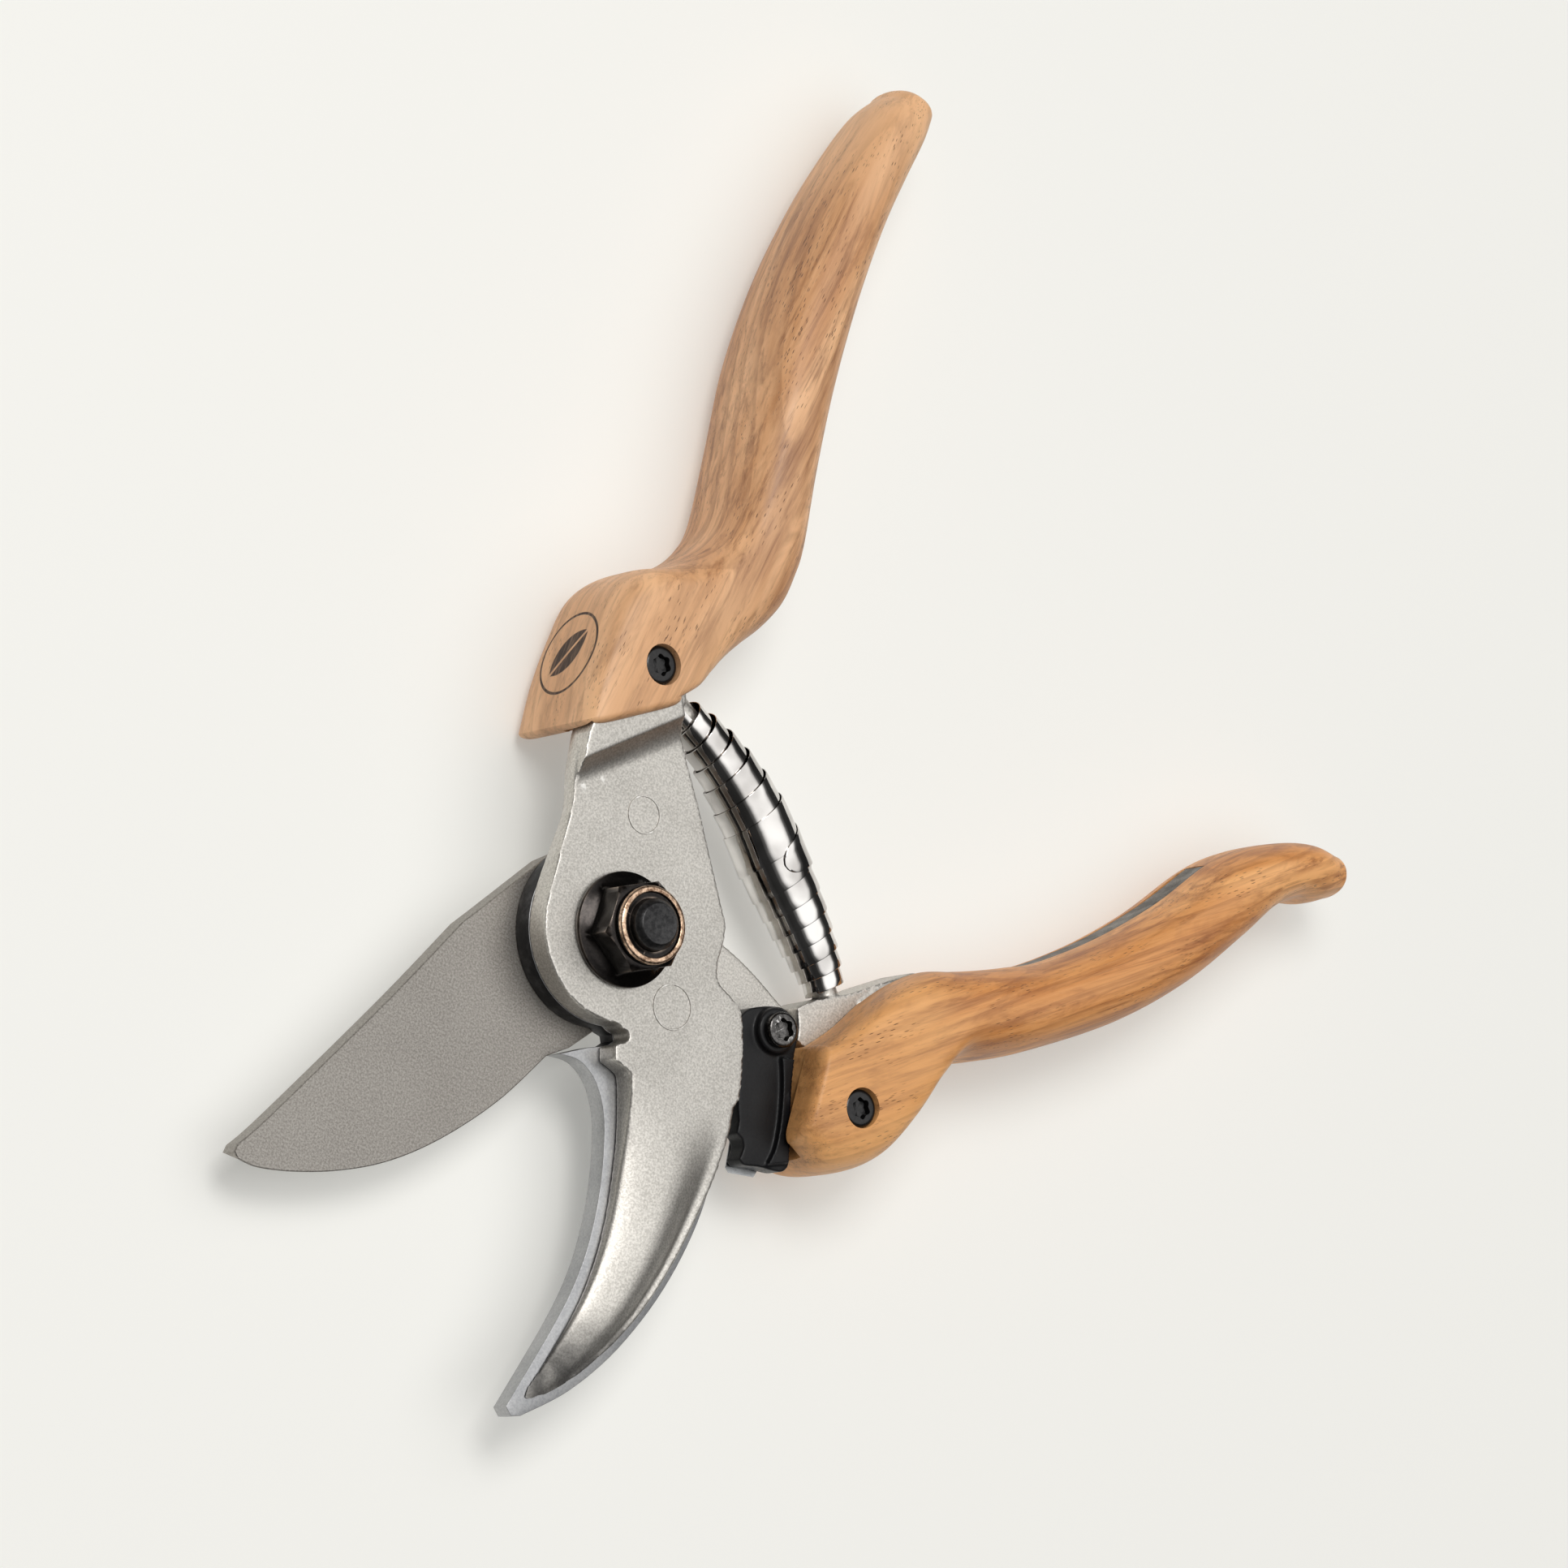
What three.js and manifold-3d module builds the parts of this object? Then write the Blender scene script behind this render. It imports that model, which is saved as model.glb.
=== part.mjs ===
// Bypass pruning shears with wooden grips, lying flat with the jaws open.
// Millimetres. +Z is the pivot axis, pointing out of the nut side; z = 0 is the resting plane.
// The hook side (counter side) keeps still, the blade side turns on the pivot bolt.
import * as THREE from 'three';
import { mergeVertices } from 'three/addons/utils/BufferGeometryUtils.js';
import Module from 'manifold-3d';

const wasm = await Module();
wasm.setup();

// ---------------------------------------------------------------- driving dimensions
const ROUND = 32;                 // facets on a full round
const FIT = 0.15;                 // clearance between a piece and the pocket it sits in

// Heights of the stacked layers at the pivot, from the back up to the nut.
const BOLT_HEAD_TOP = 2.2;
const WASHER_TOP = 2.7;
const BACK_BOTTOM = 2.8;          // aluminium body of the blade side
const BACK_TOP = 6.6;
const BLADE_TOP = 10.0;           // flat front face of the cutting blade
const COUNTER_BOTTOM = 10.15;     // steel counter blade
const COUNTER_TOP = 13.6;
const FRONT_TOP = 18.0;           // aluminium body of the hook side
const PAD_TOP = 20.5;             // raised neck pad beside the wood

const HUB_RADIUS = 14.4;
const BOLT_RADIUS = 4.0;
const BOLT_HEAD_RADIUS = 8.0;
const BOLT_END = 27.7;
const BUSH_RADIUS = 5.0;
const NUT_FLANGE_RADIUS = 8.95;
const NUT_ACROSS_FLATS = 13.0;
const NUT_COLLAR_RADIUS = 6.0;
const NUT_TOP = 26.0;

const GRIP_MIDDLE = 11.0;         // height of the grips' middle plane
const TANG_HALF = 2.5;            // half height of the tang strips let into the wood
const TANG_DEPTH = 4.2;

const GRIP_SCREW_RADIUS = 1.7;
const GRIP_HEAD_RADIUS = 2.95;
const GRIP_HEAD_HEIGHT = 1.7;
const GRIP_SCREW_TOP = 21.5;
const SLEEVE_HEAD_RADIUS = 3.4;   // sleeve nut let into the back of a grip
const SLEEVE_HEAD_BOTTOM = 0.4;
const SLEEVE_HEAD_TOP = 1.8;
const SLEEVE_RADIUS = 2.6;
const SLEEVE_TOP = 8.2;
const UPPER_SCREW = [-9.1, 40.1];
const LOWER_SCREW = [48.7, -9.5];

const LATCH_PIVOT = [33.8, -2.1];
const LATCH_BOTTOM = 10.35;
const LATCH_TOP = 14.2;
const LATCH_BOSS_TOP = 15.6;

const LATCH_SCREW_RADIUS = 1.5;
const LATCH_SLEEVE_RADIUS = 2.2;
const LATCH_HEAD_RADIUS = 2.6;
const LATCH_SLEEVE_TOP = 15.65;
const LATCH_SCREW_TOP = 17.2;
const LEAF_TOP = 10.2;

// The double-cone spring: two wound strips on one bent axis from the neck to the blade side's arm.
const SPRING_AXIS = [
  [3.7, 38.8], [8.1, 37.1], [12.8, 34.8], [17.4, 32.0], [22.3, 28.4], [27.4, 23.6], [31.8, 19.9],
  [36.7, 15.5], [41.0, 11.4], [42.9, 9.0],
];
const SPRING_TURNS = 7;
const STRIP_WIDTH = 4.6;
const STRIP_THICKNESS = 0.2;
const STRIP_STEPS = 16;           // facets on each turn

// ---------------------------------------------------------------- drawing helpers
const vec2 = ([x, y]) => new THREE.Vector2(x, y);
const pair = (v) => [v.x, v.y];

// A smooth run through the points given, with a few steps between each two.
function curve(points, steps = 3) {
  const spline = new THREE.SplineCurve(points.map(vec2));
  return spline.getPoints((points.length - 1) * steps).map(pair);
}

// Points on a circular arc; angles in degrees.
function arc(x, y, radius, from, to, steps) {
  return Array.from({ length: steps + 1 }, (_, i) => {
    const angle = THREE.MathUtils.degToRad(from + ((to - from) * i) / steps);
    return [x + radius * Math.cos(angle), y + radius * Math.sin(angle)];
  });
}

const circle = ([x, y], radius, facets = ROUND) => arc(x, y, radius, 0, 360, facets).slice(0, facets);

// The outward side of an open line, on the right of its direction of travel.
function rightNormals(points) {
  return points.map((_, i) => {
    const before = vec2(points[Math.max(i - 1, 0)]);
    const after = vec2(points[Math.min(i + 1, points.length - 1)]);
    const along = after.sub(before).normalize();
    return [along.y, -along.x];
  });
}

// The same open line moved sideways to its right.
function shifted(points, distance) {
  const normals = rightNormals(points);
  return points.map(([x, y], i) => [x + normals[i][0] * distance, y + normals[i][1] * distance]);
}

// A band of even width that follows an open line.
const band = (points, near, far) => [...shifted(points, near), ...shifted(points, far).reverse()];

// ---------------------------------------------------------------- solids
function manifoldOf(geometry) {
  geometry.deleteAttribute('normal');
  geometry.deleteAttribute('uv');
  const merged = mergeVertices(geometry, 1e-4);
  const mesh = new wasm.Mesh({
    numProp: 3,
    vertProperties: new Float32Array(merged.attributes.position.array),
    triVerts: new Uint32Array(merged.index.array),
  });
  return new wasm.Manifold(mesh);
}

function geometryOf(solid) {
  const mesh = solid.getMesh();
  const geometry = new THREE.BufferGeometry();
  geometry.setAttribute('position', new THREE.BufferAttribute(mesh.vertProperties, 3));
  geometry.setIndex(new THREE.BufferAttribute(mesh.triVerts, 1));
  geometry.computeVertexNormals();
  return geometry;
}

// A flat plate: the outline between two heights.
function plate(points, bottom, top) {
  const shape = new THREE.Shape(points.map(vec2));
  const geometry = new THREE.ExtrudeGeometry(shape, { depth: top - bottom, bevelEnabled: false });
  return manifoldOf(geometry.translate(0, 0, bottom));
}

const disc = (centre, radius, bottom, top, facets = ROUND) =>
  plate(circle(centre, radius, facets), bottom, top);

// A turned piece on an upright axis, from its radius-height profile.
function turned(profile, [x, y] = [0, 0], facets = ROUND) {
  const geometry = new THREE.LatheGeometry(profile.map(vec2), facets);
  return manifoldOf(geometry.rotateX(Math.PI / 2).translate(x, y, 0));
}

function hexagon([x, y], acrossFlats) {
  return arc(x, y, acrossFlats / Math.sqrt(3), 0, 360, 6).slice(0, 6);
}

const union = (first, ...others) => others.reduce((solid, other) => solid.add(other), first);
const cut = (first, ...others) => others.reduce((solid, other) => solid.subtract(other), first);

// A closed skin over rings of points that all have the same count.
function skin(rings) {
  const count = rings[0].length;
  const positions = rings.flat(2);
  const triangles = [];
  for (let ring = 0; ring < rings.length - 1; ring += 1) {
    for (let i = 0; i < count; i += 1) {
      const a = ring * count + i;
      const b = ring * count + ((i + 1) % count);
      triangles.push(a, b, b + count, a, b + count, a + count);
    }
  }
  [rings[0], rings[rings.length - 1]].forEach((ring, end) => {
    const centre = positions.length / 3;
    const middle = [0, 1, 2].map((axis) => ring.reduce((sum, point) => sum + point[axis], 0) / count);
    positions.push(...middle);
    const first = end === 0 ? 0 : (rings.length - 1) * count;
    for (let i = 0; i < count; i += 1) {
      const a = first + i;
      const b = first + ((i + 1) % count);
      triangles.push(...(end === 0 ? [centre, b, a] : [centre, a, b]));
    }
  });
  const build = (order) => {
    const geometry = new THREE.BufferGeometry();
    geometry.setAttribute('position', new THREE.Float32BufferAttribute(positions, 3));
    geometry.setIndex(order);
    return manifoldOf(geometry);
  };
  // Rings may run either way round: the skin is turned outside out when they run inwards.
  const solid = build(triangles);
  return solid.volume() > 0 ? solid : build(triangles.slice().reverse());
}

// ---------------------------------------------------------------- outlines
// Round slot end between the hub and the root of the hook.
const NOTCH = [[4.9, -14.2], [6.2, -14.3], [6.7, -15.2], [5.9, -16.2], [4.5, -17.0]];

const CUTTING_EDGE = curve([
  [-1.9, -20.9], [1.8, -20.4], [5.0, -21.7], [7.3, -24.0], [9.0, -26.8], [10.3, -30.4], [11.6, -35.4],
  [12.5, -41.2], [12.8, -47.4], [12.3, -53.4], [11.1, -59.3], [9.5, -65.3], [6.9, -74.5],
]);
const HOOK_BACK = curve([
  [9.8, -74.9], [16.8, -68.2], [23.1, -59.0], [28.0, -47.5], [30.6, -35.5], [30.8, -24.0], [30.4, -17.0],
]);
const COUNTER_OUTLINE = [
  ...arc(0, 0, HUB_RADIUS, -3, 286, 26),
  ...NOTCH,
  [2.7, -17.9],
  ...CUTTING_EDGE,
  [8.2, -75.5],
  ...HOOK_BACK,
  [27.5, -12.5],
  [20.0, -6.0],
];

const NECK_LEFT = curve([[-17.4, 25.2], [-16.6, 20.0], [-15.2, 15.0], [-14.8, 8.0], [-14.4, 0]]);
const SHOULDER = curve([
  [28.4, -17.4], [28.8, -15.4], [27.4, -9.6], [25.0, -3.4], [22.5, -1.7], [19.4, -0.4], [18.3, 1.8],
  [18.2, 4.8], [17.7, 8.2], [16.0, 10.8], [10.8, 18.1], [6.6, 24.0], [1.8, 30.3], [-3.2, 37.6],
]);
const FRONT_OUTLINE = [
  ...NECK_LEFT,
  ...arc(0, 0, HUB_RADIUS, 184, 286, 10),
  ...NOTCH,
  [5.2, -19.2],
  [16.0, -21.5],
  [26.8, -19.4],
  ...SHOULDER,
];

// The grips: left and right points of each rib, half thickness, and squareness of the section.
const UPPER_RIBS = [
  [[-18.8, 26.5], [-2.8, 38.0], 11.0, 6],
  [[-19.4, 34.0], [-0.2, 40.8], 11.0, 6],
  [[-19.4, 42.0], [1.6, 44.0], 11.0, 5],
  [[-18.6, 49.2], [3.6, 47.6], 11.0, 4.4],
  [[-15.6, 54.0], [6.2, 51.2], 11.0, 3.6],
  [[-10.8, 57.0], [9.4, 55.5], 11.0, 3.0],
  [[-6.4, 60.8], [11.8, 60.2], 11.0, 2.7],
  [[-3.6, 65.4], [12.7, 65.0], 11.0, 2.5],
  [[-2.5, 71.0], [12.8, 70.5], 11.0, 2.4],
  [[-3.4, 84.0], [11.0, 83.0], 11.0, 2.4],
  [[-4.7, 98.0], [9.8, 97.0], 11.0, 2.4],
  [[-4.2, 113.0], [9.7, 112.0], 10.4, 2.4],
  [[-2.0, 127.0], [10.6, 126.0], 9.6, 2.4],
  [[0.6, 137.5], [12.2, 136.0], 8.8, 2.4],
  [[3.2, 145.6], [14.0, 144.2], 7.8, 2.3],
  [[5.9, 150.4], [14.9, 149.2], 6.4, 2.2],
  [[8.6, 152.6], [14.1, 152.0], 3.6, 2.0],
];
const LOWER_RIBS = [
  [[41.3, -18.4], [40.4, -1.9], 11.0, 6],
  [[46.9, -20.3], [44.6, 3.0], 11.0, 5.5],
  [[52.6, -18.2], [48.4, 9.0], 11.0, 5],
  [[57.6, -13.9], [52.6, 14.0], 11.0, 4.4],
  [[60.7, -7.7], [57.4, 18.0], 11.0, 3.6],
  [[62.8, -0.6], [62.6, 20.4], 11.0, 3.0],
  [[65.9, 5.6], [68.0, 23.0], 11.0, 2.6],
  [[72.6, 9.2], [73.4, 25.9], 11.0, 2.4],
  [[81.0, 14.2], [79.0, 29.2], 11.0, 2.4],
  [[95.7, 25.2], [88.9, 37.6], 11.0, 2.4],
  [[107.0, 36.6], [98.4, 47.7], 10.6, 2.4],
  [[116.0, 48.8], [106.4, 58.3], 9.8, 2.4],
  [[121.0, 56.4], [112.4, 63.8], 9.2, 2.4],
  [[125.2, 60.2], [120.0, 68.4], 8.6, 2.4],
  [[129.8, 61.9], [125.9, 70.8], 7.8, 2.3],
  [[133.6, 64.2], [130.7, 71.5], 6.4, 2.2],
  [[135.5, 67.3], [133.8, 70.8], 3.6, 2.0],
];

// One ring of a grip: a rounded-square section standing on the line between two side points.
function gripRing([left, right, half, squareness], facets) {
  const power = 2 / squareness;
  const rounded = (value) => Math.sign(value) * Math.abs(value) ** power;
  return Array.from({ length: facets }, (_, i) => {
    const angle = (2 * Math.PI * (i + 0.5)) / facets;
    const across = 0.5 + 0.5 * rounded(Math.cos(angle));
    return [
      left[0] + (right[0] - left[0]) * across,
      left[1] + (right[1] - left[1]) * across,
      GRIP_MIDDLE - half * rounded(Math.sin(angle)),
    ];
  });
}

// A rib pulled in towards its own middle and set back from the next one, for rounding over an end.
function shrunk([left, right, half, squareness], inset, reach, [nextLeft]) {
  const unit = vec2(right).sub(vec2(left)).normalize();
  const back = new THREE.Vector2(-unit.y, unit.x);
  if (back.dot(vec2(nextLeft).sub(vec2(left))) > 0) {
    back.negate();
  }
  back.multiplyScalar(reach);
  return [
    [left[0] + unit.x * inset + back.x, left[1] + unit.y * inset + back.y],
    [right[0] - unit.x * inset + back.x, right[1] - unit.y * inset + back.y],
    half - inset,
    squareness,
  ];
}

// Ribs on a smooth run through the given ones.
function smoothRibs(ribs, steps) {
  const side = (index) => curve(ribs.map((rib) => rib[index]), steps);
  const rest = curve(ribs.map((rib) => [rib[2], rib[3]]), steps);
  const lefts = side(0);
  const rights = side(1);
  return lefts.map((left, i) => [left, rights[i], rest[i][0], rest[i][1]]);
}

function gripBody(ribs, facets = 20, steps = 2) {
  const rings = smoothRibs(ribs, steps);
  const start = [shrunk(rings[0], 1.1, 0.9, rings[1]), shrunk(rings[0], 0.35, 0.55, rings[1])];
  return skin([...start, ...rings].map((rib) => gripRing(rib, facets)));
}

// The line that a tang follows: a grip's side that faces the other grip.
const tangLine = (ribs, first, last) => curve(ribs.slice(first, last).map((rib) => rib[1]), 2);

// ---------------------------------------------------------------- counter side
function hookBelly() {
  // Ribs from the hub down to the tip: left foot, right foot and how much of the full height is left.
  const ribs = [
    [[6.0, -15.0], [26.0, -15.0], 1.0],
    [[8.4, -20.4], [27.9, -20.4], 1.0],
    [[10.6, -24.4], [28.1, -25.0], 0.97],
    [[12.4, -31.6], [27.6, -33.0], 0.9],
    [[13.9, -41.6], [26.2, -42.4], 0.78],
    [[14.0, -49.6], [23.6, -50.6], 0.64],
    [[13.1, -56.4], [20.4, -57.4], 0.48],
    [[11.4, -63.4], [16.2, -64.2], 0.28],
    [[10.2, -67.6], [13.0, -68.2], 0.06],
  ];
  const section = [
    [0, 0.45], [0.08, 0.7], [0.22, 0.9], [0.4, 1.0],
    [0.6, 0.96], [0.78, 0.74], [0.92, 0.42], [1, 0.16],
  ];
  const lefts = curve(ribs.map((rib) => rib[0]), 2);
  const rights = curve(ribs.map((rib) => rib[1]), 2);
  const heights = curve(ribs.map((rib, i) => [i, rib[2]]), 2).map((point) => point[1]);
  const full = FRONT_TOP - COUNTER_TOP;
  const rings = lefts.map((left, i) => {
    const right = rights[i];
    const at = (across, z) => [
      left[0] + (right[0] - left[0]) * across,
      left[1] + (right[1] - left[1]) * across,
      z,
    ];
    const top = section.map(([across, rise]) => at(across, COUNTER_TOP + full * rise * heights[i]));
    return [at(0, COUNTER_TOP), at(1, COUNTER_TOP), ...top.reverse()];
  });
  return skin(rings.reverse());
}

function neckPad() {
  // The pad rises in a sloped step across the neck, then runs into the wood.
  const insideWood = [[-3.2, 37.6], [-5.0, 38.4], [-12.6, 34.6], [-17.0, 30.0], [-17.4, 25.2]];
  const foot = [[-16.1, 18.2], [0.1, 32.4], ...insideWood];
  const crest = [[-16.9, 20.7], [-1.6, 34.8], ...insideWood];
  const ring = (points, z) => points.map(([x, y]) => [x, y, z]);
  return skin([ring(foot, COUNTER_TOP), ring(foot, FRONT_TOP), ring(crest, PAD_TOP)]);
}

const UPPER_ROOT = [[-16.4, 27.6], [-3.4, 37.8], [0.6, 44.4], [2.4, 48.6], [-7.0, 50.0], [-15.0, 44.0]];
const UPPER_TANG = tangLine(UPPER_RIBS, 1, 12);

function springPeg(from, towards) {
  const along = new THREE.Vector3(towards[0] - from[0], towards[1] - from[1], 0).normalize();
  const geometry = new THREE.CylinderGeometry(1.7, 2.1, 8.4, 16);
  const turn = new THREE.Quaternion().setFromUnitVectors(new THREE.Vector3(0, 1, 0), along);
  geometry.applyQuaternion(turn);
  return manifoldOf(geometry.translate(from[0] + along.x * 1.2, from[1] + along.y * 1.2, GRIP_MIDDLE));
}

function counterBody() {
  const tangTop = GRIP_MIDDLE + TANG_HALF;
  const tangBottom = GRIP_MIDDLE - TANG_HALF;
  const lug = [[-6.0, 33.0], [-1.0, 34.4], [0.3, 36.4], [1.5, 39.4], [0.6, 41.8], [-6.0, 41.0]];
  const whole = union(
    plate(FRONT_OUTLINE, COUNTER_TOP, FRONT_TOP),
    hookBelly(),
    neckPad(),
    plate(UPPER_ROOT, tangBottom, PAD_TOP - 1),
    plate(band(UPPER_TANG, -0.35, -TANG_DEPTH), tangBottom, tangTop),
    plate(lug, 7.6, COUNTER_TOP + 1),
    springPeg(SPRING_AXIS[0], SPRING_AXIS[1]),
  );
  return cut(
    whole,
    disc([0, 0], BOLT_RADIUS + FIT, COUNTER_TOP - 1, FRONT_TOP + 1),
    disc(UPPER_SCREW, GRIP_SCREW_RADIUS + FIT, 0, PAD_TOP + 1, 16),
    ...DOWELS.map((centre) => disc(centre, DOWEL_RADIUS + FIT, COUNTER_TOP - 1, COUNTER_TOP + 2.2, 16)),
  );
}

// Blind dowels that key the steel counter blade to the aluminium body.
const DOWEL_RADIUS = 1.5;
const DOWELS = [[18.0, -12.6], [20.4, -40.0]];

function counterBlade() {
  return cut(
    plate(COUNTER_OUTLINE, COUNTER_BOTTOM, COUNTER_TOP),
    disc([0, 0], BOLT_RADIUS + FIT, COUNTER_BOTTOM - 1, COUNTER_TOP + 1),
    ...DOWELS.map((centre) => disc(centre, DOWEL_RADIUS + FIT, COUNTER_TOP - 2.2, COUNTER_TOP + 1, 16)),
  );
}

function dowel(centre) {
  return disc(centre, DOWEL_RADIUS, COUNTER_TOP - 2, COUNTER_TOP + 2, 16);
}

// Room in a grip for its screw: counterbored for the head in front and for the sleeve nut behind.
function screwRoom(centre) {
  return union(
    disc(centre, GRIP_SCREW_RADIUS + FIT, -1, 23, 16),
    disc(centre, GRIP_HEAD_RADIUS + 0.3, GRIP_SCREW_TOP - GRIP_HEAD_HEIGHT - FIT, 23, 24),
    disc(centre, SLEEVE_HEAD_RADIUS + FIT, -1, SLEEVE_HEAD_TOP + FIT, 24),
    disc(centre, SLEEVE_RADIUS + FIT, -1, SLEEVE_TOP + 0.2, 24),
  );
}

function upperGrip() {
  const tangTop = GRIP_MIDDLE + TANG_HALF + FIT;
  const tangBottom = GRIP_MIDDLE - TANG_HALF - FIT;
  const mouth = [[-17.8, 20.0], [4.0, 30.0], [-2.8, 37.8], [-3.2, 44.5], [-16.8, 38.4], [-17.8, 25.2]];
  const root = [
    [-17.0, 20.0], [4.0, 26.0], [0.2, 37.2], [1.0, 44.0],
    [2.8, 48.9], [-7.0, 50.3], [-15.4, 44.2],
  ];
  const lug = [[-9.0, 20.0], [6.0, 26.0], [5.0, 40.0], [2.2, 42.6], [-9.0, 41.4]];
  return cut(
    gripBody(UPPER_RIBS),
    plate(mouth, COUNTER_TOP - FIT, PAD_TOP + FIT),
    plate(root, tangBottom, PAD_TOP + FIT - 1),
    plate(lug, 7.4, COUNTER_TOP),
    plate(band(UPPER_TANG, 3, -TANG_DEPTH - FIT), tangBottom, tangTop),
    screwRoom(UPPER_SCREW),
  );
}

// A round-headed screw seen from the front, with a socket in its head.
function headedScrew(centre, [headRadius, headHeight, shankRadius], bottom, top) {
  const shoulder = top - headHeight;
  const profile = [
    [0, bottom], [shankRadius, bottom], [shankRadius, shoulder], [headRadius, shoulder],
    [headRadius, top - 0.35], [headRadius - 0.35, top], [0, top],
  ];
  const socket = plate(hexagon(centre, headRadius * 0.85), top - 1.0, top + 1);
  return cut(turned(profile, centre, 24), socket);
}

const gripScrew = (centre) => headedScrew(
  centre, [GRIP_HEAD_RADIUS, GRIP_HEAD_HEIGHT, GRIP_SCREW_RADIUS], SLEEVE_HEAD_TOP + 0.6, GRIP_SCREW_TOP,
);

function sleeveNut(centre) {
  const bore = GRIP_SCREW_RADIUS + FIT;
  const profile = [
    [0, SLEEVE_HEAD_BOTTOM], [SLEEVE_HEAD_RADIUS, SLEEVE_HEAD_BOTTOM],
    [SLEEVE_HEAD_RADIUS, SLEEVE_HEAD_TOP],
    [SLEEVE_RADIUS, SLEEVE_HEAD_TOP], [SLEEVE_RADIUS, SLEEVE_TOP], [bore, SLEEVE_TOP],
    [bore, SLEEVE_HEAD_TOP], [0, SLEEVE_HEAD_TOP],
  ];
  return turned(profile, centre, 24);
}

// ---------------------------------------------------------------- pivot
function pivotBolt() {
  const profile = [
    [0, 0], [BOLT_HEAD_RADIUS - 0.6, 0], [BOLT_HEAD_RADIUS, 0.6], [BOLT_HEAD_RADIUS, BOLT_HEAD_TOP],
    [BOLT_RADIUS, BOLT_HEAD_TOP], [BOLT_RADIUS, BOLT_END - 0.9],
    [BOLT_RADIUS - 0.9, BOLT_END], [0, BOLT_END],
  ];
  const pinHoles = [-1, 1].map((side) => disc([side * 5.2, 0], 1.1, -1, 1.2, 12));
  return cut(turned(profile), ...pinHoles);
}

function pivotWasher() {
  return cut(
    disc([0, 0], BOLT_HEAD_RADIUS + 0.5, BOLT_HEAD_TOP, WASHER_TOP),
    disc([0, 0], BOLT_RADIUS + FIT, 0, BACK_BOTTOM),
  );
}

function flangeNut() {
  const hexTop = FRONT_TOP + 6.4;
  const corner = NUT_ACROSS_FLATS / Math.sqrt(3);
  const rounded = turned([
    [0, FRONT_TOP], [corner, FRONT_TOP], [corner, hexTop - 0.9], [corner - 1.2, hexTop], [0, hexTop],
  ]);
  const flange = turned([
    [0, FRONT_TOP], [NUT_FLANGE_RADIUS, FRONT_TOP], [NUT_FLANGE_RADIUS, FRONT_TOP + 0.9],
    [NUT_FLANGE_RADIUS - 0.4, FRONT_TOP + 1.2], [6.4, FRONT_TOP + 2.2], [0, FRONT_TOP + 2.2],
  ]);
  const hex = plate(hexagon([0, 0], NUT_ACROSS_FLATS), FRONT_TOP, hexTop).intersect(rounded);
  const collar = disc([0, 0], NUT_COLLAR_RADIUS, FRONT_TOP + 2, NUT_TOP);
  return cut(
    union(flange, hex, collar),
    disc([0, 0], BOLT_RADIUS + 0.1, 0, NUT_TOP + 1),
    disc([0, 0], NUT_COLLAR_RADIUS - 1.0, NUT_TOP - 0.8, NUT_TOP + 1),
  );
}

function pivotBush() {
  return cut(
    disc([0, 0], BUSH_RADIUS, BACK_BOTTOM + 0.1, BLADE_TOP - 0.05),
    disc([0, 0], BOLT_RADIUS + FIT, 0, BLADE_TOP + 1),
  );
}

// ---------------------------------------------------------------- blade side
const BLADE_EDGE = curve([
  [-47.4, -56.4], [-43.8, -56.3], [-37.7, -54.5], [-30.9, -51.6], [-24.3, -47.8], [-18.2, -42.9],
  [-12.3, -36.7], [-6.8, -29.5], [-1.8, -20.9],
]);
const BLADE_OUTLINE = [
  ...BLADE_EDGE,
  [1.8, -18.0],
  ...arc(0, 0, HUB_RADIUS - 0.6, -62, 132, 16),
  [-12.3, 7.4],
  [-21.0, -5.2],
  ...curve([[-22.7, -7.6], [-31.0, -23.9], [-44.1, -47.8], [-48.1, -54.3]]),
  [-48.3, -55.6],
];
const BLADE_SCREWS = [[-12.4, -8.4], [-6.8, -15.2]];
const BLADE_SCREW_RADIUS = 1.4;
const BLADE_SCREW_TOP = 9.2;

// The waste behind the cutting edge, which leaves a hollow-free bevel and a thin land in front.
function bevelWaste() {
  const widths = BLADE_EDGE.map((_, i) => {
    const along = i / (BLADE_EDGE.length - 1);
    return 2.4 + 4.2 * Math.sin(Math.PI * (0.12 + 0.88 * along));
  });
  const land = BLADE_TOP - 0.35;
  const inward = rightNormals(BLADE_EDGE).map(([x, y]) => [-x, -y]);
  const rings = BLADE_EDGE.map(([x, y], i) => {
    const at = (reach, z) => [x + inward[i][0] * reach, y + inward[i][1] * reach, z];
    return [
      at(-2, land), at(0, land), at(widths[i], BACK_TOP),
      at(widths[i], BACK_TOP - 1), at(-2, BACK_TOP - 1),
    ];
  });
  return skin(rings);
}

function cuttingBlade() {
  return cut(
    plate(BLADE_OUTLINE, BACK_TOP, BLADE_TOP),
    bevelWaste(),
    disc([0, 0], BUSH_RADIUS + 0.05, 0, BLADE_TOP + 1),
    ...BLADE_SCREWS.map((centre) => disc(centre, BLADE_SCREW_RADIUS + 0.1, 0, BLADE_SCREW_TOP + 0.1, 16)),
  );
}

function bladeScrew(centre) {
  const head = 2.6;
  const profile = [
    [0, BACK_BOTTOM + 0.1], [head, BACK_BOTTOM + 0.1],
    [head, BACK_BOTTOM + 0.4], [BLADE_SCREW_RADIUS, BACK_BOTTOM + 1.6],
    [BLADE_SCREW_RADIUS, BLADE_SCREW_TOP], [0, BLADE_SCREW_TOP],
  ];
  const socket = plate(hexagon(centre, 2.2), BACK_BOTTOM - 1, BACK_BOTTOM + 0.9);
  return cut(turned(profile, centre, 20), socket);
}

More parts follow.
